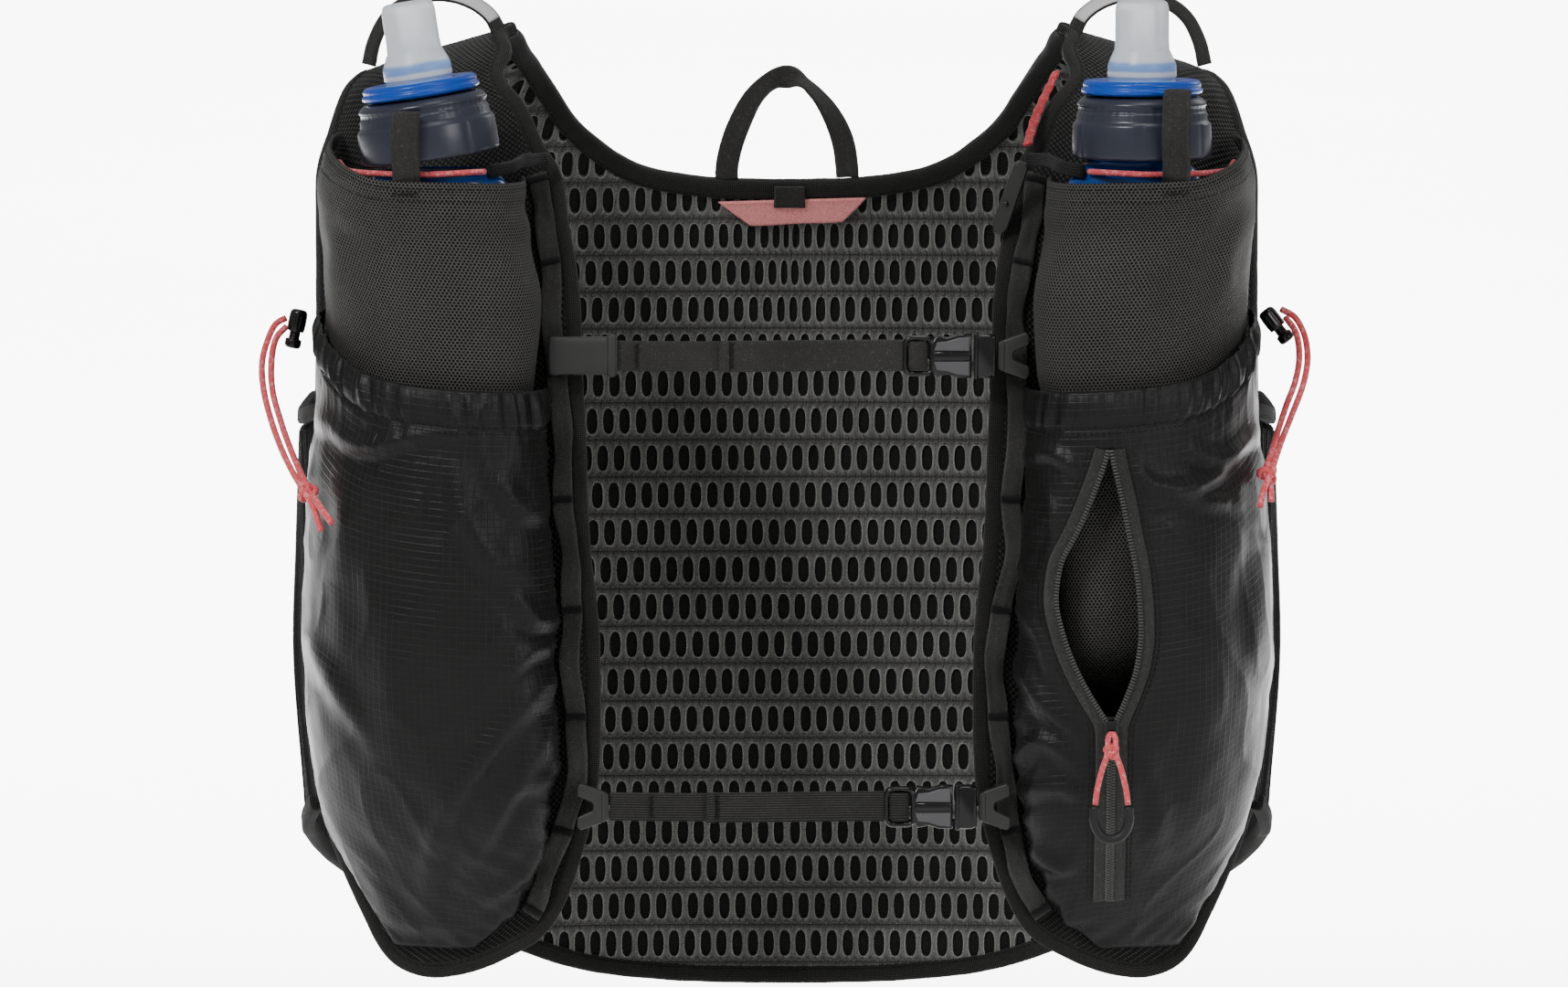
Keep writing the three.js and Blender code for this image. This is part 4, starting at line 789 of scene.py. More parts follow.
def panel_clamp(phi, z, margin):
    """Pulls rows that lie past the panel's outline back on to it."""
    phi, z = np.array(phi, float), np.array(z, float)
    top = np.interp(np.abs(phi), NECKC[:, 0], NECKC[:, 1]) - margin
    low = np.interp(np.abs(phi), HEMC[:, 0], HEMC[:, 1]) + margin
    z2 = np.clip(z, low, top)
    lim = np.interp(-z2, -ARMC[:, 1], ARMC[:, 0])
    lim = np.where(z2 > -9, 89.6, lim) - margin / 3.2
    return np.clip(phi, -lim, lim), z2


CELL_W, CELL_H = 6.2, 14.07
ca = np.arange(16) / 16 * 2 * math.pi
hole = np.stack([2.12 * np.sign(np.cos(ca)) * np.abs(np.cos(ca)) ** (2 / 2.5), 5.0 * np.sign(np.sin(ca)) * np.abs(np.sin(ca)) ** (2 / 2.5)], -1)
w2, h2 = CELL_W / 2, CELL_H / 2
rect = np.array([(w2, 0), (w2, h2 / 2), (w2, h2), (w2 / 2, h2), (0, h2), (-w2 / 2, h2), (-w2, h2), (-w2, h2 / 2), (-w2, 0), (-w2, -h2 / 2),
                 (-w2, -h2), (-w2 / 2, -h2), (0, -h2), (w2 / 2, -h2), (w2, -h2), (w2, -h2 / 2)])
rim = hole * np.array([1.2, 1.1])
rings = [rect, rim, hole, hole * 0.96]
lift = [np.where(np.abs(rect[:, 1]) > h2 * 0.9, -1.25, -1.3), np.full(16, -1.42), np.full(16, -1.2), np.full(16, -0.1)]
# Painted highlight per ring: strongest at the lip of each hole, fading to none down its wall, weaker on the rims and
# the sides of each cell, none along the cell's top and bottom edges.
painted_highlight_rings = [np.where(np.abs(rect[:, 1]) > h2 * 0.9, 0.0, 0.25), np.full(16, 0.32), np.full(16, 0.85), np.full(16, 0.0)]
cells_s, cells_z = [], []
for r in range(-5, 22):
    zc = -57.9 - CELL_H * r
    for c in range(-36, 37):
        sc = c * CELL_W + (zc + 200) * 0.095
        cells_s.append(sc)
        cells_z.append(zc)
cells_s, cells_z = np.array(cells_s), np.array(cells_z)
phi_c = phi_of(cells_s)
pc, zcl = panel_clamp(phi_c, cells_z, 0)
ok = (np.abs(pc - phi_c) < 1.2) & (np.abs(zcl - cells_z) < 6.0) & (np.abs(cells_s) < 236)
cells_s, cells_z = cells_s[ok], cells_z[ok]
V, F, UV, PAINTED_HIGHLIGHT_TN = [], [], [], []
nc = len(cells_s)
# The holes stand upright in the front view, whatever the slope of the panel.
across = lambda s, z: trunk(phi_of(s), z)[..., 0]
slope = (across(cells_s, cells_z + 3) - across(cells_s, cells_z - 3)) / 6
lean = np.clip(-slope / np.maximum(across(cells_s + 1, cells_z) - across(cells_s - 1, cells_z), 0.6) * 2, -0.14, 0.3)
for k in range(4):
    j = (RNG.random((nc, 1)) - 0.5) * (0.25 if k else 0)
    ss = cells_s[:, None] + rings[k][None, :, 0] + j + rings[k][None, :, 1] * (lean[:, None] if k else 0.095)
    zz = cells_z[:, None] + rings[k][None, :, 1]
    ph, z3 = panel_clamp(phi_of(ss), zz, 2.0)
    N = normal(ph, z3)
    P = trunk(ph, z3) + N * lift[k][None, :, None]
    V.append(P)
    PAINTED_HIGHLIGHT_TN.append(np.broadcast_to(painted_highlight_rings[k], (nc, 16)))
V = np.stack(V, 1)                                   # cell, ring, 16, 3
PAINTED_HIGHLIGHT_TN = np.stack(PAINTED_HIGHLIGHT_TN, 1)
idx = np.arange(nc * 64).reshape(nc, 4, 16)
quads = []
for k in range(3):
    a, b = idx[:, k, :], idx[:, k + 1, :]
    quads.append(np.stack([a, b, np.roll(b, -1, 1), np.roll(a, -1, 1)], -1).reshape(-1, 4))
quads = np.vstack(quads)
Vf = V.reshape(-1, 3)
d1, d2 = Vf[quads[:, 2]] - Vf[quads[:, 0]], Vf[quads[:, 3]] - Vf[quads[:, 1]]
quads = quads[np.linalg.norm(np.cross(d1, d2), axis=1) > 0.02]
uvg = np.stack([cells_s[:, None, None] + np.stack([q[:, 0] for q in rings])[None], cells_z[:, None, None] + np.stack([q[:, 1] for q in rings])[None]], -1).reshape(-1, 2)
nrm = np.cross(Vf[quads[:, 1]] - Vf[quads[:, 0]], Vf[quads[:, 3]] - Vf[quads[:, 0]])
inward = -normal(on_trunk(Vf[quads[:, 0]])[:, 0], Vf[quads[:, 0], 2])
wrong = ((nrm * inward).sum(1) < 0) & (quads.max(1) % 64 < 48)
quads[wrong] = quads[wrong][:, ::-1]
back_mesh = build("back_spacer_mesh", Vf, quads.tolist(), uvg[quads.ravel()], "spacer", "spacer_mesh", painted_highlight=PAINTED_HIGHLIGHT_TN.ravel(), replaces=("back_panel",))

# Small raised knots of yarn in the bands between the rows of holes.
bs, bz = [], []
for dz in (-1.05, 1.05):
    bs.append(cells_s + 0.095 * (CELL_H / 2 + dz))
    bz.append(cells_z + CELL_H / 2 + dz)
for dz in (-1.0, 1.0):
    bs.append(cells_s + CELL_W / 2 + 0.095 * (CELL_H / 2 + dz))
    bz.append(cells_z + CELL_H / 2 + dz)
bs, bz = np.concatenate(bs), np.concatenate(bz)
ph0 = phi_of(bs)
p1, z1 = panel_clamp(ph0, bz, 2.6)
ok = (np.abs(p1 - ph0) < 0.05) & (np.abs(z1 - bz) < 0.05) & (np.abs(bs) < 130)
bs, bz = bs[ok], bz[ok]
a8 = np.arange(8) / 8 * 2 * math.pi
ringo = np.stack([np.cos(a8) * 1.0, np.sin(a8) * 0.95], -1)
lev = [(1.0, -1.15), (0.8, -1.6), (0.35, -1.78)]
parts = []
for sc, lf in lev:
    ss, zz = bs[:, None] + ringo[None, :, 0] * sc, bz[:, None] + ringo[None, :, 1] * sc
    ph = phi_of(ss)
    parts.append(trunk(ph, zz) + normal(ph, zz) * lf)
nb = len(bs)
Vb = np.stack(parts, 1)
idx = np.arange(nb * 24).reshape(nb, 3, 8)
q = np.vstack([np.stack([idx[:, k, :], np.roll(idx[:, k, :], -1, 1), np.roll(idx[:, k + 1, :], -1, 1), idx[:, k + 1, :]], -1).reshape(-1, 4) for k in range(2)])
caps = idx[:, 2, :]
faces = q.tolist() + caps.tolist()
uvb = Vb.reshape(-1, 3)[:, [0, 2]]
idx_all = np.concatenate([q.ravel(), caps.ravel()])
# The raised yarn knots get a slight painted highlight as well.
yarn = build("back_yarn_knots", Vb.reshape(-1, 3), faces, uvb[idx_all], "spacer", "spacer_mesh", painted_highlight=np.full(nb * 24, 0.12))

# The panel's outer face, plain, with the fine mesh on its inside.
nu, nv = 90, 80
sg = np.linspace(-1, 1, nu + 1)
zg = np.linspace(0, 1, nv + 1)
PH = np.zeros((nv + 1, nu + 1))
ZZ = np.zeros((nv + 1, nu + 1))
for i, a in enumerate(sg):
    w = abs(a)
    for j, b in enumerate(zg):
        # a follows the neck at the top, the armhole and side seam outwards
        phi_top, phi_low = 88.8 * w, 74.6 * w
        zt = np.interp(phi_top, NECKC[:, 0], NECKC[:, 1]) - 2.6
        zl = np.interp(phi_low, HEMC[:, 0], HEMC[:, 1]) + 2.6
        z = zt + (zl - zt) * b
        lim = 88.8 if z > -9 else np.interp(-z, -ARMC[:, 1], ARMC[:, 0]) - 1.2
        lim = min(lim, 88.8)
        base = phi_top + (phi_low - phi_top) * b
        edge = lim * w
        PH[j, i] = math.copysign(edge, a)
        ZZ[j, i] = min(z, np.interp(abs(PH[j, i]), NECKC[:, 0], NECKC[:, 1]) - 2.4)
        ZZ[j, i] = max(ZZ[j, i], np.interp(abs(PH[j, i]), HEMC[:, 0], HEMC[:, 1]) + 2.4)
Nb = normal(PH, ZZ)
Pb = trunk(PH, ZZ) + Nb * 0.55
U, W = grid_uv(Pb)
V, f, uv, side = grid_solid(Pb, Nb, 1.25, U, W)
back_out = build("back_outer_face", V, f, uv, ["outside", "backing"], "spacer_mesh", fmat=(side == 1).astype(int), replaces=("back_panel",))

# ---------------------------------------------------------------- side and front panels
for s, n in SIDES:
    nu, nv = 72, 60
    u, v = np.meshgrid(np.linspace(0, 1, nu + 1), np.linspace(0, 1, nv + 1))
    PHs = 75.2 + (109.2 - 75.2) * u
    top = np.interp(PHs, ARM_BOTTOM[:, 0], ARM_BOTTOM[:, 1]) - 3.4
    low = np.interp(PHs, SIDE_HEM[:, 0], SIDE_HEM[:, 1]) + 2.6
    Zs = top + (low - top) * v
    P = trunk(s * PHs, Zs)
    N = normal(s * PHs, Zs)
    U, W = grid_uv(P)
    V, f, uv, side = grid_solid(P + N * (0.22 * np.cos(U * 2 * math.pi / 2.0))[..., None], N, 1.5, U, W)
    o = build("side_knit_" + n, V, f, uv, "sideknit", "side_knit", replaces=("side_panel_" + n,))

    inner = inset(FRONT_EDGE, 2.8)
    outer = inset(ARM_FRONT, -2.8)
    nv, nu = 110, 30
    inner = inner[inner[:, 1] > -320]
    zi = np.linspace(0, 1, nv + 1)
    L = spread(inner, nv)
    arm = np.vstack([outer, [(109.5, -134), (109.5, -269)]])
    R = spread(arm, nv)
    R[:, 1] = R[:, 1]
    bot = inset(FRONT_BOTTOM, 2.8)
    B = spread(np.vstack([L[-1:], bot[(bot[:, 0] < L[-1, 0] - 0.6)], R[-1:]]), nu)
    T = spread(np.vstack([L[:1], R[:1]]), nu)
    L[0, 0] = R[0, 0] = T[0, 0] = T[-1, 0] = 91.2
    T[:, 0] = 91.2
    uu, vv = np.meshgrid(np.linspace(0, 1, nu + 1), zi)
    G = ((1 - vv)[..., None] * T[None] + vv[..., None] * B[None] + (1 - uu)[..., None] * L[:, None] + uu[..., None] * R[:, None]
         - ((1 - uu) * (1 - vv))[..., None] * T[0] - (uu * (1 - vv))[..., None] * T[-1] - ((1 - uu) * vv)[..., None] * B[0] - (uu * vv)[..., None] * B[-1])
    P = trunk(s * G[..., 0], G[..., 1])
    N = normal(s * G[..., 0], G[..., 1])
    U, W = grid_uv(P)
    V, f, uv, side = grid_solid(P, N, 2.2, U, W)
    o = build("front_mesh_" + n, V, f, uv, "shoulder", "spacer_mesh", replaces=("front_panel_" + n,))

# ---------------------------------------------------------------- bindings
def binding(name, rows, node, inner_side, slot="edge_binding", closed=False, w=5.9, t=3.5, step=2.2, shift=0.0):
    rows = rows[:-1] if closed and np.allclose(rows[0], rows[-1]) else rows
    P = trunk(rows[:, 0], rows[:, 1])
    if closed:
        P = np.vstack([P, P[:1]])
    P = even(P, step=step)
    P = blur(P, 3)
    if closed:
        P = P[:-1]
    R = on_trunk(P)
    F = normal(R[:, 0], R[:, 1])
    A = unit(np.cross(F, tangents(P, closed)))
    P = P + A * (inner_side * shift)
    prof = rounded(w, t, 22, 3.4)
    groove = np.exp(-((prof[:, 0] - inner_side * w * 0.27) / 0.45) ** 2)
    prof[:, 1] -= np.sign(prof[:, 1]) * groove * 0.42
    swell = 1 + 0.035 * noise2(along(P) / 9, np.zeros(len(P)), 5)
    o = sweep(name, P, A, F, prof, "binding", slot, closed=closed, scale=swell, replaces=(node,))
    # The line of stitches lies in the groove, on the face that the front view shows.
    parts = []
    for sgn in (1, -1):
        Q = P + A * (inner_side * w * 0.27) + F * sgn * (t / 2 - 0.3)
        if closed:
            Q = np.vstack([Q, Q[:1]])
            FF = np.vstack([F, F[:1]])
        else:
            FF = F
        parts.append(stitch_run(Q, FF * sgn, 2.6, 1.8, 0.55, raised=0.2))
    V, f, uv = joined(parts)
    build(name + "_stitches", V, f, uv, "thread", slot)
    return o


neck = clamp_phi(inset(NECK, 2.7), 0, 89.7)
neck = np.vstack([flip(neck)[::-1][:-1], neck])
binding("neck_edge", neck, "neck_binding", 1, w=7.8, t=5.2, shift=0.9)
hem = np.vstack([inset(HEM, -2.7), inset(SIDE_HEM, -2.7)[1:]])
hem = hem[(hem[:, 0] < 108.6) & (hem[:, 0] >= 0)]
binding("back_hem_edge", np.vstack([flip(hem)[::-1][:-1], hem]), "back_hem_binding", -1, w=6.6, t=5.0, shift=0.3)
for s, n in SIDES:
    a = clamp_phi(inset(FRONT_EDGE, 2.7)[:-1], 90.3, 180)
    b = inset(FRONT_BOTTOM, 2.7)[1:]
    rows = np.vstack([a, b[b[:, 0] > 110.8]])
    binding("front_edge_" + n, rows if s > 0 else flip(rows), "front_binding_" + n, s)
    loop = np.vstack([inset(ARM_FRONT, -2.7), inset(ARM_BOTTOM, -2.7)[::-1][1:-1], inset(ARM_BACK, 2.7)[::-1]])
    binding("armhole_edge_" + n, loop if s > 0 else flip(loop), "armhole_binding_" + n, -s, closed=True)

# ---------------------------------------------------------------- pockets
LIFT = 2.35
FLASK_POCKET = table("z outer inner deep", [
    (-40, 109.8, 150, 80), (-62, 112, 152, 64), (-85, 115, 155, 55), (-120, 117.5, 156.1, 46), (-170, 117, 156.6, 43),
    (-205, 117.5, 156.2, 37), (-228, 119, 154, 16)])
FLASK_HEM = table("u drop", [(0, -10.5), (0.2, -4), (0.45, 0.4), (0.75, 1.4), (1, 2.5)])
LOWER_POCKET = table("z outer inner deep", [
    (-100, 112.6, 156.6, 58), (-121, 113.6, 157.7, 56), (-138, 112.4, 158.3, 54), (-152, 110.5, 158.8, 53), (-200, 110.5, 160.2, 50),
    (-240, 110.7, 160.2, 42), (-268, 113, 158.8, 32), (-290, 121, 156.6, 19), (-305, 127, 153.6, 10), (-318.5, 132, 147, 2)])
LOWER_HEM = table("u drop", [(0, -9), (0.18, 2), (0.4, 10), (0.7, 13.5), (1, 15)])


def pocket_grid(T, H, power, nu, nv, side):
    th = np.linspace(0, 1, nu + 1) * math.pi
    u1 = (1 - np.cos(th)) / 2
    u, v = np.meshgrid(u1, np.linspace(0, 1, nv + 1))
    tt = np.broadcast_to(th, u.shape)
    z = (T["z"][0] - smooth(H, "u", "drop", u)) * (1 - v) + T["z"][-1] * v
    out, inn = smooth(T, "z", "outer", z), smooth(T, "z", "inner", z)
    phi = side * (out + (inn - out) * u)
    P = trunk(phi, z) + normal(phi, z) * LIFT
    d = smooth(T, "z", "deep", z) * np.sin(tt).clip(0) ** power
    P[..., 0] += side * 0.05 * d * np.cos(tt)
    P[..., 1] -= d
    return P, u, v


def to_photo(P):
    k = 0.335 * (1 + P[..., 1] / 4000)
    return np.stack([861 + P[..., 0] / k, 540 - ((P[..., 2] + 161.4) * 0.9962 + P[..., 1] * 0.0872) / k], -1)


def fold(Q, line, amp, wide, skew=0.0):
    """Height of one fold: a ridge along a drawn line in the front view, fading at both ends. Line and width in 1/3 mm."""
    L = catmull(np.array(line, float), 8)
    s = along(L)
    best = np.full(Q.shape[:2], 1e9)
    tb = np.zeros(Q.shape[:2])
    sg = np.zeros(Q.shape[:2])
    for i in range(len(L) - 1):
        a, b = L[i], L[i + 1]
        ab = b - a
        t = np.clip(((Q - a) @ ab) / (ab @ ab), 0, 1)
        w = Q - a - t[..., None] * ab
        d = np.hypot(w[..., 0], w[..., 1])
        m = d < best
        best = np.where(m, d, best)
        tb = np.where(m, (s[i] + t * (s[i + 1] - s[i])) / s[-1], tb)
        sg = np.where(m, np.sign(ab[0] * w[..., 1] - ab[1] * w[..., 0]), sg)
    x = best * sg / wide + skew
    fade = np.sin(np.clip(tb, 0.02, 0.98) * math.pi) ** 0.6
    return amp * fade * (np.exp(-x * x) - 0.45 * np.exp(-(np.abs(x) - 1.7) ** 2 * 1.2) * (x > 0))


def fabric(Q, U, W, P, seed, folds, hem_amp, edge_amp, cluster=None):
    """How far pocket fabric stands off its smooth form."""
    dt = -W                                    # below the hem
    total_u = U.max(1, keepdims=True) - U.min(1, keepdims=True)
    du = U - U.min(1, keepdims=True)           # from the outer edge
    di = total_u - du                          # from the inner edge
    db = dt.max(0, keepdims=True) - dt
    D = 0.55 * noise2(du / 26, dt / 44, seed) + 0.3 * noise2(du / 11 + 7, dt / 19, seed + 1)
    ridged = (1 - np.abs(noise2((du + dt * 0.55) / 21, (dt - du * 0.3) / 48, seed + 2))) ** 5
    D += 0.55 * (ridged - 0.3)
    # Gathers of the elastic hem, fading below its seam.
    rip = noise2(du / 3.9, dt / 60 + 3, seed + 3) + 0.5 * noise2(du / 2.0, dt / 30, seed + 4)
    rip = np.sign(rip) * np.abs(rip) ** 0.8
    env = hem_amp * (0.55 + 0.45 * ramp(dt, 0, 5)) * (1 - ramp(dt, 11, 15) * 0.78) * (1 - ramp(dt, 15, 42))
    if cluster is not None:
        env = env * (0.55 + 1.2 * np.exp(-((du - cluster) / 22) ** 2))
    D += rip * env
    D += 1.15 * np.sin(np.clip(dt / 13.4, 0, 1) * math.pi) ** 0.8 - 0.75 * np.exp(-((dt - 13.6) / 0.9) ** 2)
    # Puckers that run in from the sewn edges.
    for dist, sd, amp, reach in ((di, 5, edge_amp, 13), (du, 6, edge_amp * 0.55, 9)):
        pk = noise2(dt / 6.4 + dist / 22, dist / 34, seed + sd) + 0.5 * noise2(dt / 3.2, dist / 20, seed + sd + 5)
        D += amp * pk * np.exp(-dist / reach) * ramp(dist, 0.3, 4) * ramp(dt, 12, 20)
    pk = noise2(du / 5.5, db / 25, seed + 9)
    D += 0.7 * pk * np.exp(-db / 9) * ramp(db, 0.3, 3)
    for line, amp, wide in folds:
        D += 1.45 * fold(Q, line, amp, wide)
    hold = ramp(di, 0, 3.5) * ramp(du, 0, 3.5) * ramp(db, 0, 3)
    return np.maximum(D, -0.9) * hold


FOLDS = {
    "r": [
        ([(463, 1000), (482, 899), (540, 813), (578, 765), (622, 735)], 2.0, 13),
        ([(505, 960), (545, 890), (600, 800)], 1.2, 10),
        ([(501, 500), (508, 560), (540, 615), (575, 625)], 1.9, 16),
        ([(540, 520), (575, 560), (606, 552)], 1.5, 12),
        ([(560, 650), (590, 680), (618, 674)], 1.4, 10),
        ([(545, 748), (580, 712), (618, 700)], 1.3, 9),
        ([(560, 870), (600, 850), (622, 800)], 1.2, 9),
        ([(339, 700), (372, 760), (406, 815)], 1.4, 12),
        ([(345, 452), (396, 488), (450, 480), (500, 472)], 1.5, 10),
        ([(375, 520), (380, 580), (366, 640)], 1.2, 13),
        ([(520, 992), (570, 960), (610, 900)], 1.1, 9),
        ([(400, 960), (440, 1010), (500, 1020)], 1.0, 10),
        ([(420, 620), (428, 760), (415, 880)], 0.8, 22),
    ],
    "l": [
        ([(1232, 500), (1255, 528), (1290, 534), (1325, 522), (1357, 489)], 2.2, 9),
        ([(1253, 548), (1305, 545), (1348, 552)], 1.7, 9),
        ([(1300, 490), (1335, 500), (1372, 474)], 1.5, 8),
        ([(1242, 500), (1250, 590), (1242, 690)], 0.9, 12),
        ([(1383, 600), (1376, 677), (1388, 740)], 1.3, 12),
        ([(1112, 720), (1150, 778), (1184, 806)], 1.7, 10),
        ([(1112, 660), (1140, 700), (1150, 740)], 1.2, 8),
        ([(1108, 840), (1140, 812), (1180, 838)], 1.4, 9),
        ([(1112, 872), (1160, 862), (1186, 872)], 1.3, 9),
        ([(1125, 930), (1160, 950), (1186, 944)], 1.3, 9),
        ([(1142, 530), (1158, 590), (1140, 640)], 1.1, 9),
        ([(1120, 500), (1150, 496), (1188, 520)], 1.2, 8),
        ([(1246, 816), (1268, 877), (1264, 945)], 1.3, 13),
        ([(1352, 965), (1320, 1010), (1280, 1030)], 1.0, 11),
        ([(1310, 700), (1322, 820), (1300, 930)], 0.8, 24),
    ],
}
ZIP = table("z left right", [
    (-135.2, 114.2, 114.6), (-143, 111.6, 116.4), (-154.5, 107.4, 119), (-166, 102.4, 121.2), (-175, 97.9, 123.1), (-188, 96.3, 124.7),
    (-200, 98.6, 125.2), (-212, 102.9, 123.8), (-223, 108.6, 120.2), (-231.5, 113.8, 116.6)])
SURF = {}


def on_surface(key, x, z, off=0.0):
    """Points of a pocket's surface behind places of the front view, with its normals."""
    P, N = SURF[key]
    Pf, Nf = P.reshape(-1, 3), N.reshape(-1, 3)
    out, nor = [], []
    for a, b in zip(np.atleast_1d(x), np.atleast_1d(z)):
        k = int(np.argmin((Pf[:, 0] - a) ** 2 + (Pf[:, 2] - b) ** 2 + 0.02 * (Pf[:, 1] + 135) ** 2))
        n3 = Nf[k]
        y = Pf[k, 1] - (n3[0] * (a - Pf[k, 0]) + n3[2] * (b - Pf[k, 2])) / min(n3[1], -0.2)
        out.append((a, y, b))
        nor.append(n3)
    out, nor = np.array(out), unit(blur(np.array(nor), 2) if len(nor) > 2 else np.array(nor))
    return out + nor * off, nor


for s, n in SIDES:
    # Power mesh pocket for the flask.
    P, u, v = pocket_grid(FLASK_POCKET, FLASK_HEM, 0.5, 96, 84, s)
    N = grid_normals(P, np.array([0, -1.0, 0]))
    U, W = grid_uv(P)
    dt = -W
    du = U - U.min(1, keepdims=True)
    di = (U.max(1, keepdims=True) - U.min(1, keepdims=True)) - du
    D = 0.6 * noise2(du / 30, dt / 40, 31 + s) + 0.35 * noise2((du + dt * 0.6) / 14, (dt - du * 0.4) / 38, 41 + s)
    D += 0.9 * np.exp(-di / 16) * noise2(dt / 17, di / 30, 51 + s) + 0.7 * np.exp(-du / 12) * noise2(dt / 15, du / 26, 61 + s)
    D += 0.35 * (1 - ramp(dt, 6.6, 8.2)) - 0.2 * np.exp(-((dt - 7.4) / 0.6) ** 2)
    Q = to_photo(P)
    lines = ([([(600, 262), (520, 236), (430, 246)], 1.3, 14), ([(352, 232), (372, 268), (366, 320)], 1.4, 11), ([(350, 210), (376, 236), (420, 262)], 1.0, 10)]
             if s < 0 else
             [([(1125, 230), (1200, 235), (1280, 215), (1350, 190)], 1.2, 13), ([(1372, 232), (1345, 268), (1338, 330)], 1.5, 11), ([(1235, 268), (1256, 320), (1244, 370)], 0.8, 12)])
    for line, amp, wide in lines:
        D += fold(Q, line, amp, wide)
    D *= ramp(di, 0, 3) * ramp(du, 0, 3)
    tucked = ramp(-P[..., 2], 108, 126)
    D = D * (1 - tucked) + (np.minimum(D, 0) * 0.4 - 1.9) * tucked * ramp(di, 0, 8) * ramp(du, 0, 8)
    P = P + N * D[..., None]
    N = grid_normals(P, np.array([0, -1.0, 0]))
    SURF["flask_" + n] = (P, N)
    thick = np.where(dt < 7.2, 1.15, 0.75)
    V, f, uv, side = grid_solid(P, N, thick, U, W)
    o = build("flask_pocket_mesh_" + n, V, f, uv, "power", "power_mesh", replaces=("flask_pocket_" + n,))
    A = area_of(P)
    row = int(np.argmin(np.abs(dt[:, 48] - 7.0)))
    parts = [stitch_run(P[row] + N[row] * 0.35, N[row], 2.0, 1.5, 0.42), stitch_run(P[1] + N[1] * 0.5, N[1], 2.4, 1.5, 0.4)]
    V, f, uv = joined(parts)
    build("flask_pocket_stitches_" + n, V, f, uv, "thread", "power_mesh")

    # Lower pocket of glossy ripstop.
    P0, u, v = pocket_grid(LOWER_POCKET, LOWER_HEM, 0.54, 150, 176, s)
    N0 = grid_normals(P0, np.array([0, -1.0, 0]))
    U, W = grid_uv(P0)
    Q = to_photo(P0)
    D = fabric(Q, U, W, P0, 100 if s < 0 else 200, FOLDS[n], 1.5, 1.7, cluster=None if s < 0 else 62)
    keep = None
    if s > 0:
        x, z = P0[..., 0], P0[..., 2]
        left, right = smooth(ZIP, "z", "left", z), smooth(ZIP, "z", "right", z)
        low = z < -231.5
        left, right = np.where(low, 111.4, left), np.where(low, 119.4, right)
        gap = np.maximum(left - x, x - right)
        gap = np.where(z > -135.2, np.hypot(x - 114.4, z + 135.2), gap)
        gap = np.where(z < -300, np.maximum(gap, -300 - z), gap)
        D *= ramp(gap, 4.6, 11)
        inside = (gap < 2.0) & (z > -231) & (P0[..., 1] < -90)
        keep = ~(inside[:-1, :-1] & inside[1:, 1:] & inside[:-1, 1:] & inside[1:, :-1])
        SURF["zip"] = (P0, N0)
    P = P0 + N0 * D[..., None]
    N = grid_normals(P, np.array([0, -1.0, 0]))
    SURF["lower_" + n] = (P, N)
    V, f, uv, side = grid_solid(P, N, 0.7, U, W, keep)
    o = build("ripstop_pocket_" + n, V, f, uv, "ripstop", "ripstop", replaces=("lower_pocket_" + n,))
    A = area_of(P)
    dt = -W
    parts = []
    for target in (13.0, 14.9):
        k = np.argmin(np.abs(dt - target), axis=0)
        cols = np.arange(P.shape[1])
        line, nn = blur(P[k, cols], 1), N[k, cols]
        parts.append(stitch_run(line + nn * 0.4, nn, 2.2, 1.6, 0.42, raised=0.15))
    for col in (3, -4):
        k0 = 12
        parts.append(stitch_run(P[k0:-4, col] + N[k0:-4, col] * 0.38, N[k0:-4, col], 2.4, 1.6, 0.4, raised=0.15))
    V, f, uv = joined(parts)
    build("ripstop_stitches_" + n, V, f, uv, "thread", "ripstop")

# ---------------------------------------------------------------- zip
zt = np.linspace(-134.2, -231.5, 60)
zb = np.linspace(-233, -299.5, 26)
tapes, teeth, seams = [], [], []
for k in (-1, 1):
    edge = smooth(ZIP, "z", "left" if k < 0 else "right", zt)
    xs = np.concatenate([edge + k * 2.5, np.full(len(zb), ZM + k * 2.95)])
    xi = np.concatenate([edge + k * 0.25, np.full(len(zb), ZM + k * 0.62)])
    zz = np.concatenate([zt, zb])
    Pt, Nt = on_surface("zip", xs, zz, 0.75)
    Pt = even(blur(Pt, 3), step=1.3)
    Rn = np.stack([np.interp(along(Pt), along(Pt), Pt[:, i]) for i in range(3)], -1)
    Nn = on_surface("zip", Rn[:, 0], Rn[:, 2], 0)[1]
    A = unit(np.cross(Nn, tangents(Pt)))
    tapes.append(outward(*sweep_data(Pt, A, Nn, flat_section(5.2, 0.7, 6))))
    Pe, Ne = on_surface("zip", xi, zz, 1.25)
    Pe = even(blur(Pe, 3), step=1.0)
    Ne = on_surface("zip", Pe[:, 0], Pe[:, 2], 0)[1]
    teeth.append(stitch_run(Pe, Ne, 1.15, 0.78, 2.0, raised=0.1))
    A2, F2 = unit(np.cross(Ne, tangents(Pe))), Ne
    tapes.append(outward(*sweep_data(Pe - Ne * 0.15, A2, F2, rounded(1.5, 0.9, 8, 2.2))))
    for off in (5.9, 7.3):
        Ps, Ns = on_surface("zip", xs + k * (off - 2.5), zz, 0.42)
        Ps = blur(Ps, 3)
        seams.append(stitch_run(Ps, Ns, 2.2, 1.6, 0.42, raised=0.15))
V, f, uv = joined(tapes)
build("zip_tapes", V, f, uv, "tape", "zip_tape", replaces=("zip_tape",))
V, f, uv = joined(teeth)
build("zip_coil", V, f, uv, "teeth", "zip_tape")
V, f, uv = joined(seams)
build("zip_seam_stitches", V, f, uv, "thread", "ripstop")
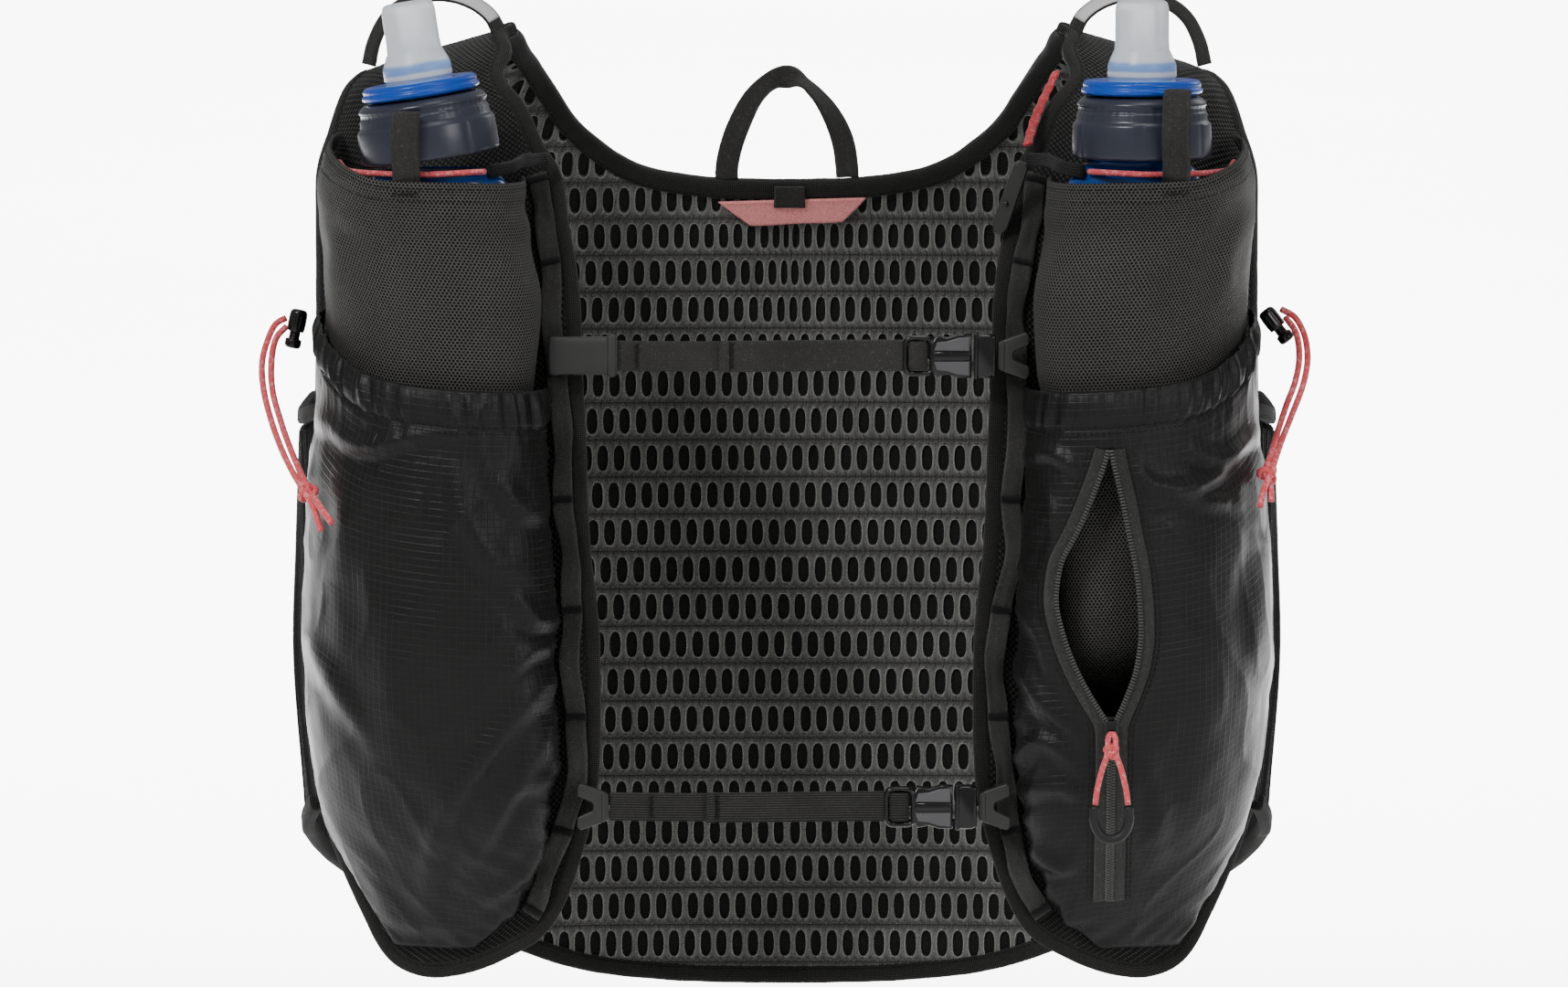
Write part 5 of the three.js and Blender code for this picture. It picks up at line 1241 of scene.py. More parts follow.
Pg = catmull(rows3((ZM - 6, ZY + 0.6, ZS - 26.2), (ZM - 6.1, ZY + 0.6, ZS - 32), (ZM - 3.6, ZY + 0.6, ZS - 36.6), (ZM, ZY + 0.6, ZS - 38),
                   (ZM + 3.6, ZY + 0.6, ZS - 36.6), (ZM + 6.1, ZY + 0.6, ZS - 32), (ZM + 6, ZY + 0.6, ZS - 26.2)))
V, f, uv = tube_data(even(Pg, step=0.8), 3.5, 18)
build("zip_grip_bow", V, f, uv, "griprubber", "rubber_trim", replaces=("zip_grip",))

# ---------------------------------------------------------------- webbing
TACK_Z = [-42.8, -72, -110.8, -155.7, -194.8, -233.2, -274.9, -304.1]
for s, n in SIDES:
    rows = inset(FRONT_EDGE, 8.6)
    rows = rows[(rows[:, 1] < -40.5) & (rows[:, 1] > -307)]
    rows = rows if s > 0 else flip(rows)
    P = even(trunk(rows[:, 0], rows[:, 1]), step=1.2)
    P = blur(P, 4)
    R = on_trunk(P)
    F = normal(R[:, 0], R[:, 1])
    A = unit(np.cross(F, tangents(P)))
    z = P[:, 2]
    k = np.clip(np.searchsorted(-np.array(TACK_Z), -z) - 1, 0, len(TACK_Z) - 2)
    t = np.clip((np.array(TACK_Z)[k] - z) / (np.array(TACK_Z)[k] - np.array(TACK_Z)[k + 1]), 0, 1)
    puffs = np.array([0.8, 2.4, 3.0, 3.4, 2.6, 3.2, 2.4, 1.6])[k]
    sway = np.array([0.5, -1.3, 1.2, 2.1, -1.8, 1.7, -1.4, 0.6])[k] * np.sin(t * math.pi) ** 2
    rise = 2.6 + puffs * np.sin(t * math.pi) ** 0.7 * (0.85 + 0.15 * np.sin(t * 3 * math.pi + k))
    C = P + F * rise[:, None] + A * sway[:, None]
    twist = 0.5 * np.sin(t * 2 * math.pi + k * 1.7) * np.sin(t * math.pi)
    A2 = unit(A * np.cos(twist)[:, None] + F * np.sin(twist)[:, None])
    T2 = tangents(C)
    F2 = unit(np.cross(T2, A2))
    F2 *= np.sign((F2 * F).sum(1, keepdims=True))
    sweep("daisy_webbing_" + n, C, A2, F2, flat_section(7.4, 1.05, 8, 0.12), "chain", "webbing", replaces=("daisy_chain_" + n,))
    parts = []
    for tz in TACK_Z:
        j = int(np.argmin(np.abs(z - tz)))
        j = min(max(j, 2), len(P) - 3)
        seg = slice(j - 1, j + 2)
        V1 = outward(*sweep_data(C[seg] + F[seg] * 0.25, A2[seg], F[seg], rounded(7.7, 1.9, 14, 3.0)))
        parts.append(V1)
    V, f, uv = joined(parts)
    build("daisy_bar_tacks_" + n, V, f, uv, "threadlight", "webbing")

    # Pull loop, folded over at the top.
    px = s * (134.8 if s < 0 else 138)
    pf = -129.4
    pt = -15.4 if s < 0 else -7.4
    hem = SURF["flask_" + n][0][0]
    at = hem[np.argmin(np.abs(hem[:, 0] - px) + 0.2 * (hem[:, 1] - hem[:, 1].min()))]
    hy, hz = at[1], at[2]
    sk = on_surface("flask_" + n, [px, px], [hz - 2.5, hz - 6.0], 0.0)[0][:, 1]
    Pn = catmull(rows3((px, sk[1] + 2.4, hz - 6), (px, sk[0] + 2.2, hz - 2.5), (px, hy + 1.9, hz), (px, hy + 0.2, hz + 3.0), (px - 0.5, (hy + pf) / 2 - 1.9, (hz + pt) / 2 - 1.5), (px - 0.2, pf - 1.2, pt - 3.0),
                       (px + 0.2, pf - 0.2, pt - 0.5), (px + 0.3, pf + 1.2, pt), (px + 0.1, pf + 2.3, pt - 2.2), (px, pf + 2.6, pt - 9), (px, hy + 3.4, hz + 3.5), (px, max(sk[1], hy) + 4.2, hz - 5)))
    Pn = even(Pn, step=1.0)
    Tn = tangents(Pn)
    An = np.tile(np.array([[1.0, 0, 0]]), (len(Pn), 1))
    tw = 0.12 * np.sin(np.linspace(0, 5, len(Pn)))
    An = unit(An + np.stack([np.zeros(len(Pn)), tw, np.zeros(len(Pn))], -1))
    sweep("pull_loop_web_" + n, Pn, An, unit(np.cross(An, Tn)), flat_section(9.8, 1.2, 8, 0.2), "webbing", "webbing", replaces=("pull_loop_" + n,))
    # Bar tack of zigzag thread under it.
    tz, tx = (hz - 4.6, px)
    Pk, Nk = on_surface("flask_" + n, np.linspace(tx - 4.6, tx + 4.6, 9), np.full(9, tz) + np.array([0, .9, 0, .9, 0, .9, 0, .9, 0]), 0.75)
    V, f, uv = stitch_run(Pk, Nk, 0.8, 1.5, 0.6, raised=0.2)
    build("pull_loop_tack_" + n, V, f, uv, "threadlight", "webbing")

    # Shoulder loop, its inner half faced with reflective tape.
    arch = rows3((104.6, -3, 6.5), (105.8, -3, 9.5), (108, -3, 13.4), (113, -3, 17.5), (120, -3, 20.4), (128, -3, 21.3), (137, -3, 19.4), (145.5, -3, 13.6),
                 (150.5, -3, 4.5), (152.6, -3, -4.4))
    arch[:, 0] *= s
    Pa = even(catmull(arch), step=1.0)
    Ta = tangents(Pa)
    rad = unit(np.cross(Ta, np.array([[0, 1.0, 0]])))
    rad *= np.sign(rad[:, 2:3] + 1e-6)
    rad[np.abs(Pa[:, 0]) > 140] *= np.sign((rad[np.abs(Pa[:, 0]) > 140] * np.array([s, 0, 0.3])).sum(1, keepdims=True))
    q = np.linspace(0, 1, len(Pa))
    ang = 0.5 + 0.25 * np.sin(q * 3.0)
    Aa = unit(rad * np.cos(ang)[:, None] + np.array([[0, 1.0, 0]]) * np.sin(ang)[:, None])
    Fa = unit(np.cross(Ta, Aa))
    Fa *= np.sign(-Fa[:, 1:2])
    sweep("shoulder_loop_web_" + n, Pa, Aa, Fa, flat_section(6.2, 1.0, 6), "webbing", "webbing", replaces=("shoulder_loop_" + n,))
    m = (np.abs(Pa[:, 0]) > 107) & (np.abs(Pa[:, 0]) < 131) & (q < 0.6)
    sweep("shoulder_reflector_" + n, (Pa + Fa * 0.55)[m], Aa[m], Fa[m], flat_section(4.9, 0.3, 4), "reflective", "webbing")

    # Anchor that the flask's cord hooks into.
    zc = -37.5
    Pc = even(catmull(rows3((s * 105.6, -112.4, zc + 0.7), (s * 104.2, -111, zc + 0.8), (s * 98.2, -101, zc + 1.5), (s * 93.6, -85, zc + 3), (s * 88.5, -72.5, zc + 2.5),
                            (s * 86, -69.5, zc + 2.4))), step=1.0)
    Tc = tangents(Pc)
    q = np.linspace(0, 1, len(Pc))
    up = np.tile(np.array([[0, 0, 1.0]]), (len(Pc), 1)) + 0.5 * np.sin(q * 5)[:, None] * np.array([[0.3, -0.7, 0]])
    Ac = unit(up - (up * Tc).sum(1, keepdims=True) * Tc)
    Fc = unit(np.cross(Ac, Tc))
    sweep("cord_anchor_web_" + n, Pc, Ac, Fc, rounded(4.8, 1.9, 14, 3.0), "anchor", "webbing", scale=1 + 0.08 * np.sin(q * 21), replaces=("cord_anchor_" + n,))
    V, f, uv = joined([tube_data(even(Pc + Ac * 1.9 * k + Fc * 0.4, step=1.2), 1.1, 8) for k in (-1, 1)])
    build("cord_anchor_piping_" + n, V, f, uv, "threadlight", "webbing")


def strap(name, x0, x1, y, z, w, mat, replaces=(), wave=0.0, thick=1.1, tip=None):
    m = max(4, int(abs(x1 - x0) / 1.2))
    x = np.linspace(x0, x1, m)
    P = np.stack([x, y - wave * np.sin((x - x0) / (x1 - x0) * math.pi), np.full(m, z) + 0.25 * np.sin(x / 19)], -1)
    A = np.tile(np.array([[0, 0, 1.0]]), (m, 1))
    F = unit(np.cross(tangents(P), A))
    F *= np.sign(-F[:, 1:2])
    return sweep(name, P, A, F, flat_section(w, thick, 10, 0.05), mat, "webbing", replaces=replaces)


def tack(name, x, y, z, w, mat="threadlight", zig=True):
    parts = []
    zz = np.linspace(z - w / 2 + 0.8, z + w / 2 - 0.8, 8)
    for i in range(len(zz) - 1):
        a = x + (0.55 if i % 2 else -0.55)
        b = x + (-0.55 if i % 2 else 0.55)
        parts.append(tube_data(rows3((a, y, zz[i]), ((a + b) / 2, y - 0.15, (zz[i] + zz[i + 1]) / 2), (b, y, zz[i + 1])), 0.75, 8))
    V, f, uv = joined(parts)
    return build(name, V, f, uv, mat, "webbing")


UY, UZ = -97.5, -103.7
strap("upper_strap_under", -84.2, -20.5, UY + 0.25, UZ, 10.8, "webbing", ("upper_strap",))
strap("upper_strap_over", -23.4, 42.5, UY - 0.95, UZ, 11.2, "webbing", (), 0.35)
strap("upper_strap_fold", -24.2, -20.6, UY - 1.9, UZ, 11.3, "webbing", (), 0, 0.9)
tack("upper_tack_a", -53.6, UY - 0.6, UZ, 10.4)
tack("upper_tack_b", -19.6, UY - 1.75, UZ, 10.8)
LY, LZ = -101.5, -265.3
strap("lower_strap_under", -63.4, -24.5, LY + 0.25, LZ, 10.2, "elastic", ("lower_strap",))
strap("lower_strap_over", -28.2, 36, LY - 0.95, LZ, 10.8, "elastic", (), 0.3)
strap("lower_strap_fold", -28.8, -25.6, LY - 1.9, LZ, 10.9, "elastic", (), 0, 0.9)
tack("lower_tack_a", -48.6, LY - 0.6, LZ, 9.8)
tack("lower_tack_b", -24.8, LY - 1.75, LZ, 10.4)


# ---------------------------------------------------------------- buckles
def slab_data(outline, yc, depth, bevel):
    o = np.array(outline, float)
    c = o.mean(0)
    n = len(o)
    # inwards along the corner's own bisector
    prev, nxt = np.roll(o, 1, 0), np.roll(o, -1, 0)
    e1, e2 = unit(o - prev), unit(nxt - o)
    area = 0.5 * (o[:, 0] * nxt[:, 1] - nxt[:, 0] * o[:, 1]).sum()
    sgn = 1 if area > 0 else -1
    n1, n2 = np.stack([-e1[:, 1], e1[:, 0]], -1) * sgn, np.stack([-e2[:, 1], e2[:, 0]], -1) * sgn
    b = unit(n1 + n2)
    b = b / np.maximum((b * n1).sum(1, keepdims=True), 0.5)
    levels = [(1.0, -depth / 2), (0.3, -depth / 2 + bevel * 0.3), (0.0, -depth / 2 + bevel), (0.0, depth / 2 - bevel), (0.3, depth / 2 - bevel * 0.3), (1.0, depth / 2)]
    V = []
    for k, y in levels:
        q = o + b * bevel * k
        V.append(np.stack([q[:, 0], np.full(n, yc + y), q[:, 1]], -1))
    V = np.vstack(V)
    f = []
    for l in range(len(levels) - 1):
        for i in range(n):
            f.append([l * n + i, l * n + (i + 1) % n, (l + 1) * n + (i + 1) % n, (l + 1) * n + i])
    f += [list(range(n))[::-1], [(len(levels) - 1) * n + i for i in range(n)]]
    idx = np.concatenate([np.array(q) for q in f])
    return outward(V, f, V[idx][:, [0, 2]])


def rrect(w, h, r, cx=0.0, cz=0.0, seg=4):
    out = []
    for sx, sz, a0 in ((1, -1, -90), (1, 1, 0), (-1, 1, 90), (-1, -1, 180)):
        for i in range(seg + 1):
            a = (a0 + 90 * i / seg) * RAD
            out.append((cx + sx * (w / 2 - r) + r * math.cos(a), cz + sz * (h / 2 - r) + r * math.sin(a)))
    return out


HOOK = [(0, -4.6), (2.8, -5.9), (10.2, -8.5), (11.4, -7.2), (11.3, -3.9), (5.6, -1.3), (5.6, 1.3), (11.3, 3.9), (11.4, 7.2), (10.2, 8.5), (2.8, 5.9), (0, 4.6)]


def buckle(k, to, y, z):
    # Ladder: a frame with a webbing loop round its bar.
    x = to + 5.9
    P = np.array([(a, y - 0.2, b) for a, b in rrect(9.6, 12.8, 2.2, x, z, 5)])
    P = even(np.vstack([P, P[:1]]), step=0.8)[:-1]
    T = tangents(P, True)
    F = np.tile(np.array([[0, -1.0, 0]]), (len(P), 1))
    frame_part = outward(*sweep_data(P, unit(np.cross(F, T)), F, rounded(1.9, 4.4, 12, 2.8), closed=True))
    b = to + 17.6
    body = slab_data([(b - 7.6, z - 4.2), (b - 5.4, z - 7.5), (b - 1.5, z - 6.6), (b + 2.5, z - 7.8), (b + 7.2, z - 7.8), (b + 7.2, z + 7.8), (b + 2.5, z + 7.8),
                      (b - 1.5, z + 6.6), (b - 5.4, z + 7.5), (b - 7.6, z + 4.2)], y, 4.6, 0.7)
    mid = slab_data([(b - 6.4, z - 1.5), (b + 6.8, z - 1.5), (b + 6.8, z + 1.5), (b - 6.4, z + 1.5)], y - 2.3, 1.2, 0.35)
    V, f, uv = joined([frame_part, body, mid])
    build(k + "_buckle_male_body", V, f, uv, "gloss", "gloss_buckle", replaces=(k + "_buckle_male",), flat=False)
    faces = [slab_data([(b - 6.2, z + q * 2.0), (b + 6.4, z + q * 1.9), (b + 6.4, z + q * 6.9), (b + 2.4, z + q * 6.6), (b - 1.4, z + q * 5.4), (b - 5.2, z + q * 5.0)][::q], y - 2.45, 1.4, 0.4)
             for q in (1, -1)]
    V, f, uv = joined(faces)
    build(k + "_buckle_faces", V, f, uv, "greyface", "gloss_buckle", flat=True)
    x = to + 5.6
    t = np.linspace(0, 2 * math.pi, 28, endpoint=False)
    P = np.stack([x + 3.1 * np.sign(np.cos(t)) * np.abs(np.cos(t)) ** 0.8, y + 2.2 * np.sin(t) - 0.3, np.full(28, z)], -1)
    T = tangents(P, True)
    A = np.tile(np.array([[0, 0, 1.0]]), (28, 1))
    F = unit(np.cross(T, A))
    sweep(k + "_ladder_loop", P, A, F, flat_section(10.4, 0.9, 6), "webbing" if k == "upper" else "elastic", "webbing", closed=True)
    g = to + 29.5
    rim = slab_data(rrect(7.9, 15.6, 2.2, g, z, 3), y, 6.4, 1.1)
    lip = slab_data(rrect(1.6, 16.4, 0.6, g - 3.1, z, 2), y, 7.0, 0.5)
    lip2 = slab_data(rrect(1.4, 14.2, 0.5, g + 3.2, z, 2), y, 6.9, 0.5)
    V, f, uv = joined([rim, lip, lip2])
    build(k + "_buckle_female_body", V, f, uv, "gloss", "gloss_buckle", replaces=(k + "_buckle_female",))


def smooth_outline(o, seg=3, r=0.8):
    o = np.array(o, float)
    out = []
    for i in range(len(o)):
        a, b, c = o[i - 1], o[i], o[(i + 1) % len(o)]
        ra = min(r, np.linalg.norm(a - b) * 0.4, np.linalg.norm(c - b) * 0.4)
        p, q = b + (a - b) / np.linalg.norm(a - b) * ra, b + (c - b) / np.linalg.norm(c - b) * ra
        for t in np.linspace(0, 1, seg + 1):
            out.append((1 - t) ** 2 * p + 2 * t * (1 - t) * b + t * t * q)
    return np.array(out)


def hook(name, x, y, z, sgn, node):
    o = smooth_outline([(x + sgn * a, z + b) for a, b in HOOK])
    main = slab_data(o, y, 3.4, 0.55)
    bar = slab_data(rrect(1.5, 10.4, 0.6, x + sgn * 1.7, z, 2), y - 1.6, 0.9, 0.3)
    V, f, uv = joined([main, bar])
    return build(name, V, f, uv, "satin", "satin_hook", replaces=(node,))


buckle("upper", 41.2, UY, UZ)
buckle("lower", 34.6, LY, LZ)
hook("upper_hook_end", 41.2 + 34.1, UY, UZ, 1, "upper_hook_l")
hook("lower_hook_end", 34.6 + 34.1, LY, LZ, 1, "lower_hook_l")
hook("lower_hook_start", -63.8, LY, LZ, -1, "lower_hook_r")
# Rubber keeper: a sleeve with raised ends.
P = np.array([(UY - 0.0 + b, UZ + a) for a, b in rounded(14.0, 5.0, 30, 4.5)])
ring = np.stack([np.zeros(len(P)), P[:, 0], P[:, 1]], -1)
st = np.array([-12.2, -12.0, -11.2, -8.6, -8.0, -4, 0, 4, 8.0, 8.6, 11.2, 12.0, 12.2])
gr = np.array([0.93, 0.98, 1.0, 1.0, 0.985, 0.98, 0.98, 0.98, 0.985, 1.0, 1.0, 0.98, 0.93])
c0 = np.array([0, UY, UZ])
V = np.vstack([np.stack([np.full(len(ring), -72.8 + a), c0[1] + (ring[:, 1] - c0[1]) * g, c0[2] + (ring[:, 2] - c0[2]) * g], -1) for a, g in zip(st, gr)])
k, m = len(ring), len(st)
f = [[i * k + j, i * k + (j + 1) % k, (i + 1) * k + (j + 1) % k, (i + 1) * k + j] for i in range(m - 1) for j in range(k)]
f += [list(range(k))[::-1], [(m - 1) * k + j for j in range(k)]]
idx = np.concatenate([np.array(q) for q in f])
V, f, uv = outward(V, f, V[idx][:, [0, 2]])
build("keeper_sleeve", V, f, uv, "rubber", "rubber_trim", replaces=("strap_keeper",))
V, f, uv = slab_data(rrect(3.2, 15.0, 1.2, -62.6, UZ, 4), UY, 5.6, 0.6)
build("keeper_rim", V, f, uv, "rubber", "rubber_trim")


# ---------------------------------------------------------------- flasks
def lathe_data(profile, seg=64, where=(0, 0, 0), tilt=0.0, rib=None):
    """A turned shape; tilt turns its axis about Y, rib is the radius' change with angle and height."""
    pr = np.array(profile, float)
    a = np.arange(seg) / seg * 2 * math.pi
    R = np.broadcast_to(pr[:, None, 0], (len(pr), seg)) + (0 if rib is None else rib(a[None, :], pr[:, None, 1], pr[:, None, 0]))
    V = np.stack([R * np.cos(a), R * np.sin(a), np.broadcast_to(pr[:, None, 1], R.shape)], -1)
    n = len(pr)
    V = V.reshape(-1, 3)
    t = tilt * RAD
    x = V[:, 0] * math.cos(t) + V[:, 2] * math.sin(t)
    z = -V[:, 0] * math.sin(t) + V[:, 2] * math.cos(t)
    V = np.stack([x, V[:, 1], z], -1) + np.array(where)
    f, uv = [], []
    for i in range(n - 1):
        if pr[i, 0] < 1e-6 and pr[i + 1, 0] < 1e-6:
            continue
        for j in range(seg):
            j2 = (j + 1) % seg
            f.append([i * seg + j, i * seg + j2, (i + 1) * seg + j2, (i + 1) * seg + j])
            r = max(pr[i, 0], pr[i + 1, 0])
            uv += [(a[j] * r, pr[i, 1]), (a[j] * r + 2 * math.pi / seg * r, pr[i, 1]), (a[j] * r + 2 * math.pi / seg * r, pr[i + 1, 1]), (a[j] * r, pr[i + 1, 1])]
    return outward(V, f, np.array(uv, float))


def round_profile(rows, r=0.5):
    o = np.array(rows, float)
    out = [o[0]]
    for i in range(1, len(o) - 1):
        a, b, c = o[i - 1], o[i], o[i + 1]
        la, lc = np.linalg.norm(a - b), np.linalg.norm(c - b)
        ra = min(r, la * 0.4, lc * 0.4)
        p, q = b + (a - b) / max(la, 1e-9) * ra, b + (c - b) / max(lc, 1e-9) * ra
        for t in (0, 0.5, 1):
            out.append((1 - t) ** 2 * p + 2 * t * (1 - t) * b + t * t * q)
    out.append(o[-1])
    return np.array(out)


mv = Mat("milky valve with blue seat", Roughness=0.3, Transmission_Weight=0.25, IOR=1.4, Subsurface_Weight=0.15, Specular_IOR_Level=0.5)
_, uu, vv = mv.coords()
soft = mv.math("ADD", vv, mv.math("MULTIPLY", mv.noise(90, 2), 1.2))
band1 = mv.math("MULTIPLY", mv.range(soft, 4.0, 5.2, 0, 1), mv.range(soft, 6.6, 7.8, 1, 0))
band2 = mv.math("MULTIPLY", mv.range(soft, 9.0, 9.8, 0, 1), mv.range(soft, 12.2, 13.4, 1, 0))
col = mv.mix(mv.math("MULTIPLY", mv.math("MAXIMUM", band1, band2), 0.8), rgb(240, 245, 250), rgb(92, 156, 236))
mv.base(col)
mv.rough(mv.range(mv.noise(70, 3), 0.3, 0.7, 0.26, 0.4))
mv.bump(mv.noise(260, 3), 0.00008, 0.6)
M["valve"] = mv.m

for s, n in SIDES:
    tilt = -8.7 if s < 0 else 0.0
    t = tilt * RAD
    base = np.array([s * 126.5, -101, -34.6]) + 24 * np.array([math.sin(t), 0, math.cos(t)])
    spin = 0.4 if s < 0 else 1.1
    cap_rib = lambda a, h, r: np.where((h < -9.6) & (h > -21.4), -0.45 * np.exp(-((((a + spin) % (math.pi / 3)) - math.pi / 6) / 0.035) ** 2), 0) + \
        np.where((h > -7.6) & (h < -2.6) & (r > 22), 0.12 * np.cos(a * 48), 0)
    prof = round_profile([(0, 0.2), (13.5, 0.2), (21.2, -0.4), (22.9, -2.2), (23.0, -3.2), (22.5, -3.7), (22.5, -5.2), (23.1, -5.8), (23.4, -8.6), (24.6, -9.8),
                          (24.9, -15), (24.9, -20.8), (24.3, -22), (0, -22)], 0.6)
    V, f, uv = lathe_data(prof, 144, base, tilt, cap_rib)
    build("flask_cap_shell_" + n, V, f, uv, "cap", "flask_cap", replaces=("flask_cap_" + n,))
    prof = round_profile([(12.6, 0.5), (19.9, 0.5), (21.3, 1.2), (21.4, 2.6), (20.6, 3.2), (20.9, 4.6), (19.6, 5.8), (12.6, 5.4), (12.6, 0.5)], 0.5)
    ear = lambda a, h, r: np.where(r > 18, -0.9 * np.cos(2 * (a + spin)) * 0.5, 0)
    V, f, uv = lathe_data(prof, 96, base, tilt, ear)
    build("lock_collar_ring_" + n, V, f, uv, "blue", "lock_collar", body="lock_" + n, replaces=("lock_collar_" + n,))
    prof = round_profile([(0, 0.6), (11.2, 0.6), (12.0, 2.0), (12.2, 5.2), (11.8, 5.6), (11.8, 6.4), (12.3, 7.0), (12.2, 11), (11.4, 13.2), (10.2, 15.8), (9.9, 20),
                          (9.9, 31), (9.3, 33.2), (8.2, 34), (5.5, 34), (4.6, 33.2), (0, 32.8)], 0.5)
    flatten = lambda a, h, r: np.where(h > 16, -0.35 * np.cos(4 * a) ** 2, 0)
    V, f, uv = lathe_data(prof, 80, base, tilt, flatten)
    build("bite_valve_shell_" + n, V, f, uv, "valve", "bite_valve", body="lock_" + n, replaces=("bite_valve_" + n,))
    bag = np.array([(-22.4, 17, 13), (-28, 22.5, 15), (-36, 26.5, 15.4), (-55, 28.5, 15), (-85, 29.5, 14), (-130, 29.5, 13.2), (-170, 28.5, 12), (-188, 26, 8.5), (-196, 21, 4.5)], float)
    if s < 0:
        bag[0, 0] -= 3.6
    BT = table("h w d", bag)
    hh = np.linspace(bag[0, 0], bag[-1, 0], 70)
    a = np.arange(72) / 72 * 2 * math.pi
    w, d = smooth(BT, "h", "w", hh)[:, None], smooth(BT, "h", "d", hh)[:, None]
    cr = 1 + 0.02 * noise2(a[None, :] * 4 + 0 * hh[:, None], hh[:, None] / 14, 7) * ramp(-hh[:, None], 26, 40)
    X = np.sign(np.cos(a)) * np.abs(np.cos(a)) ** 0.9 * w * cr
    Y = np.sign(np.sin(a)) * np.abs(np.sin(a)) ** 0.9 * d * cr
    V = np.stack([X + s * 124.5, Y - 101, np.broadcast_to(hh[:, None], X.shape) - 10.6], -1).reshape(-1, 3)
    f = [[i * 72 + j, i * 72 + (j + 1) % 72, (i + 1) * 72 + (j + 1) % 72, (i + 1) * 72 + j] for i in range(69) for j in range(72)]
    f += [list(range(72)), [69 * 72 + j for j in range(72)][::-1]]
    idx = np.concatenate([np.array(q) for q in f])
    V, f, uv = outward(V, f, V[idx][:, [0, 2]])
    build("flask_bag_" + n, V, f, uv, "film", "flask_film", replaces=("flask_body_" + n,))

    # Cord lock and its button.
    tl = (12 if s < 0 else -38)
    where = (s * (177.4 if s < 0 else 176.8), -49 if s < 0 else -48, -97 if s < 0 else -96)
    grip = lambda a, h, r: np.where((r > 2.9) & (h > -1) & (h < 5), 0.16 * np.cos(a * 12), 0)
    V, f, uv = lathe_data(round_profile([(0, 6.6), (2.3, 6.5), (3.1, 5.6), (3.1, 4), (3.1, 1), (3.1, -1.5), (2.4, -1.5), (2.4, 2.4), (0, 2.4)], 0.4), 48, where, tl, grip)
    build("cord_lock_barrel_" + n, V, f, uv, "gloss", "gloss_buckle", replaces=("cord_lock_" + n,))
    V, f, uv = lathe_data(round_profile([(0, -0.6), (1.95, -0.6), (1.95, -4.2), (2.95, -4.4), (3.0, -6.8), (2.4, -7.6), (0, -7.8)], 0.4), 40, where, tl)
    build("cord_lock_plunger_" + n, V, f, uv, "gloss", "gloss_buckle", body="button_" + n, replaces=("cord_lock_button_" + n,))

# ---------------------------------------------------------------- neck
HL = rows3((-22.3, 71.6, -50.6), (-22.3, 71.6, -46.6), (-20.6, 71.6, -38), (-16.8, 71.6, -28), (-11.8, 71.6, -19.2), (-5.4, 71.6, -13.6), (-0.6, 71.6, -12.3), (4.4, 71.6, -13.2), (10.4, 71.6, -18.0),
           (16.4, 71.6, -26), (20.8, 71.6, -36), (22.4, 71.6, -45.8), (22.6, 71.6, -49.8))
turn = np.array([0, 0, 4, 16, 34, 50, 62, 74, 60, 40, 20, 6, 0], float)
Ph = even(catmull(HL), step=1.0)
tq = np.interp(np.linspace(0, 1, len(Ph)), np.linspace(0, 1, len(turn)), turn)
face = np.stack([np.sin(tq * RAD), -np.cos(tq * RAD), np.zeros(len(tq))], -1)
Th = tangents(Ph)
Fh = unit(face - (face * Th).sum(1, keepdims=True) * Th)
sweep("hang_loop_web", Ph, unit(np.cross(Th, Fh)), Fh, flat_section(8.6, 1.1, 8, 0.1), "webbing", "webbing", replaces=("hang_loop",))

i, j = np.meshgrid(np.linspace(0, 1, 41), np.linspace(0, 1, 13))
x = -23.8 + 51.7 * i + j * ((1 - i) * 12 - i * 9.5)
z = -57.8 + 1.6 * i - j * 9.2
rr = on_trunk(np.stack([x, np.full_like(x, 70.0), z], -1))
P = trunk(rr[..., 0], z)
N = normal(rr[..., 0], z)
P = P - N * (2.75 + 0.25 * np.sin(i * 9) * j)[..., None]
U, W = grid_uv(P)
V, f, uv, side = grid_solid(P, -N, 0.8, U, W)
lab = build("label_blank", V, f, uv, "labelcloth", "label", replaces=("collar_label",))
V, f, uv = stitch_run(P[1, 1:-1] - N[1, 1:-1] * 0.55, -N[1, 1:-1], 1.8, 1.2, 0.35)
build("label_stitches", V, f, uv, "labelcloth", "label")
i, j = np.meshgrid(np.linspace(0, 1, 15), np.linspace(0, 1, 13))
x, z = -4.4 + 10.8 * i, -51.5 - 8.0 * j
rr = on_trunk(np.stack([x, np.full_like(x, 70.0), z], -1))
P = trunk(rr[..., 0], z)
N = normal(rr[..., 0], z)
P = P - N * (3.7 - 1.3 * ramp(j, 0.0, 0.1) * 0)[..., None]
U, W = grid_uv(P)
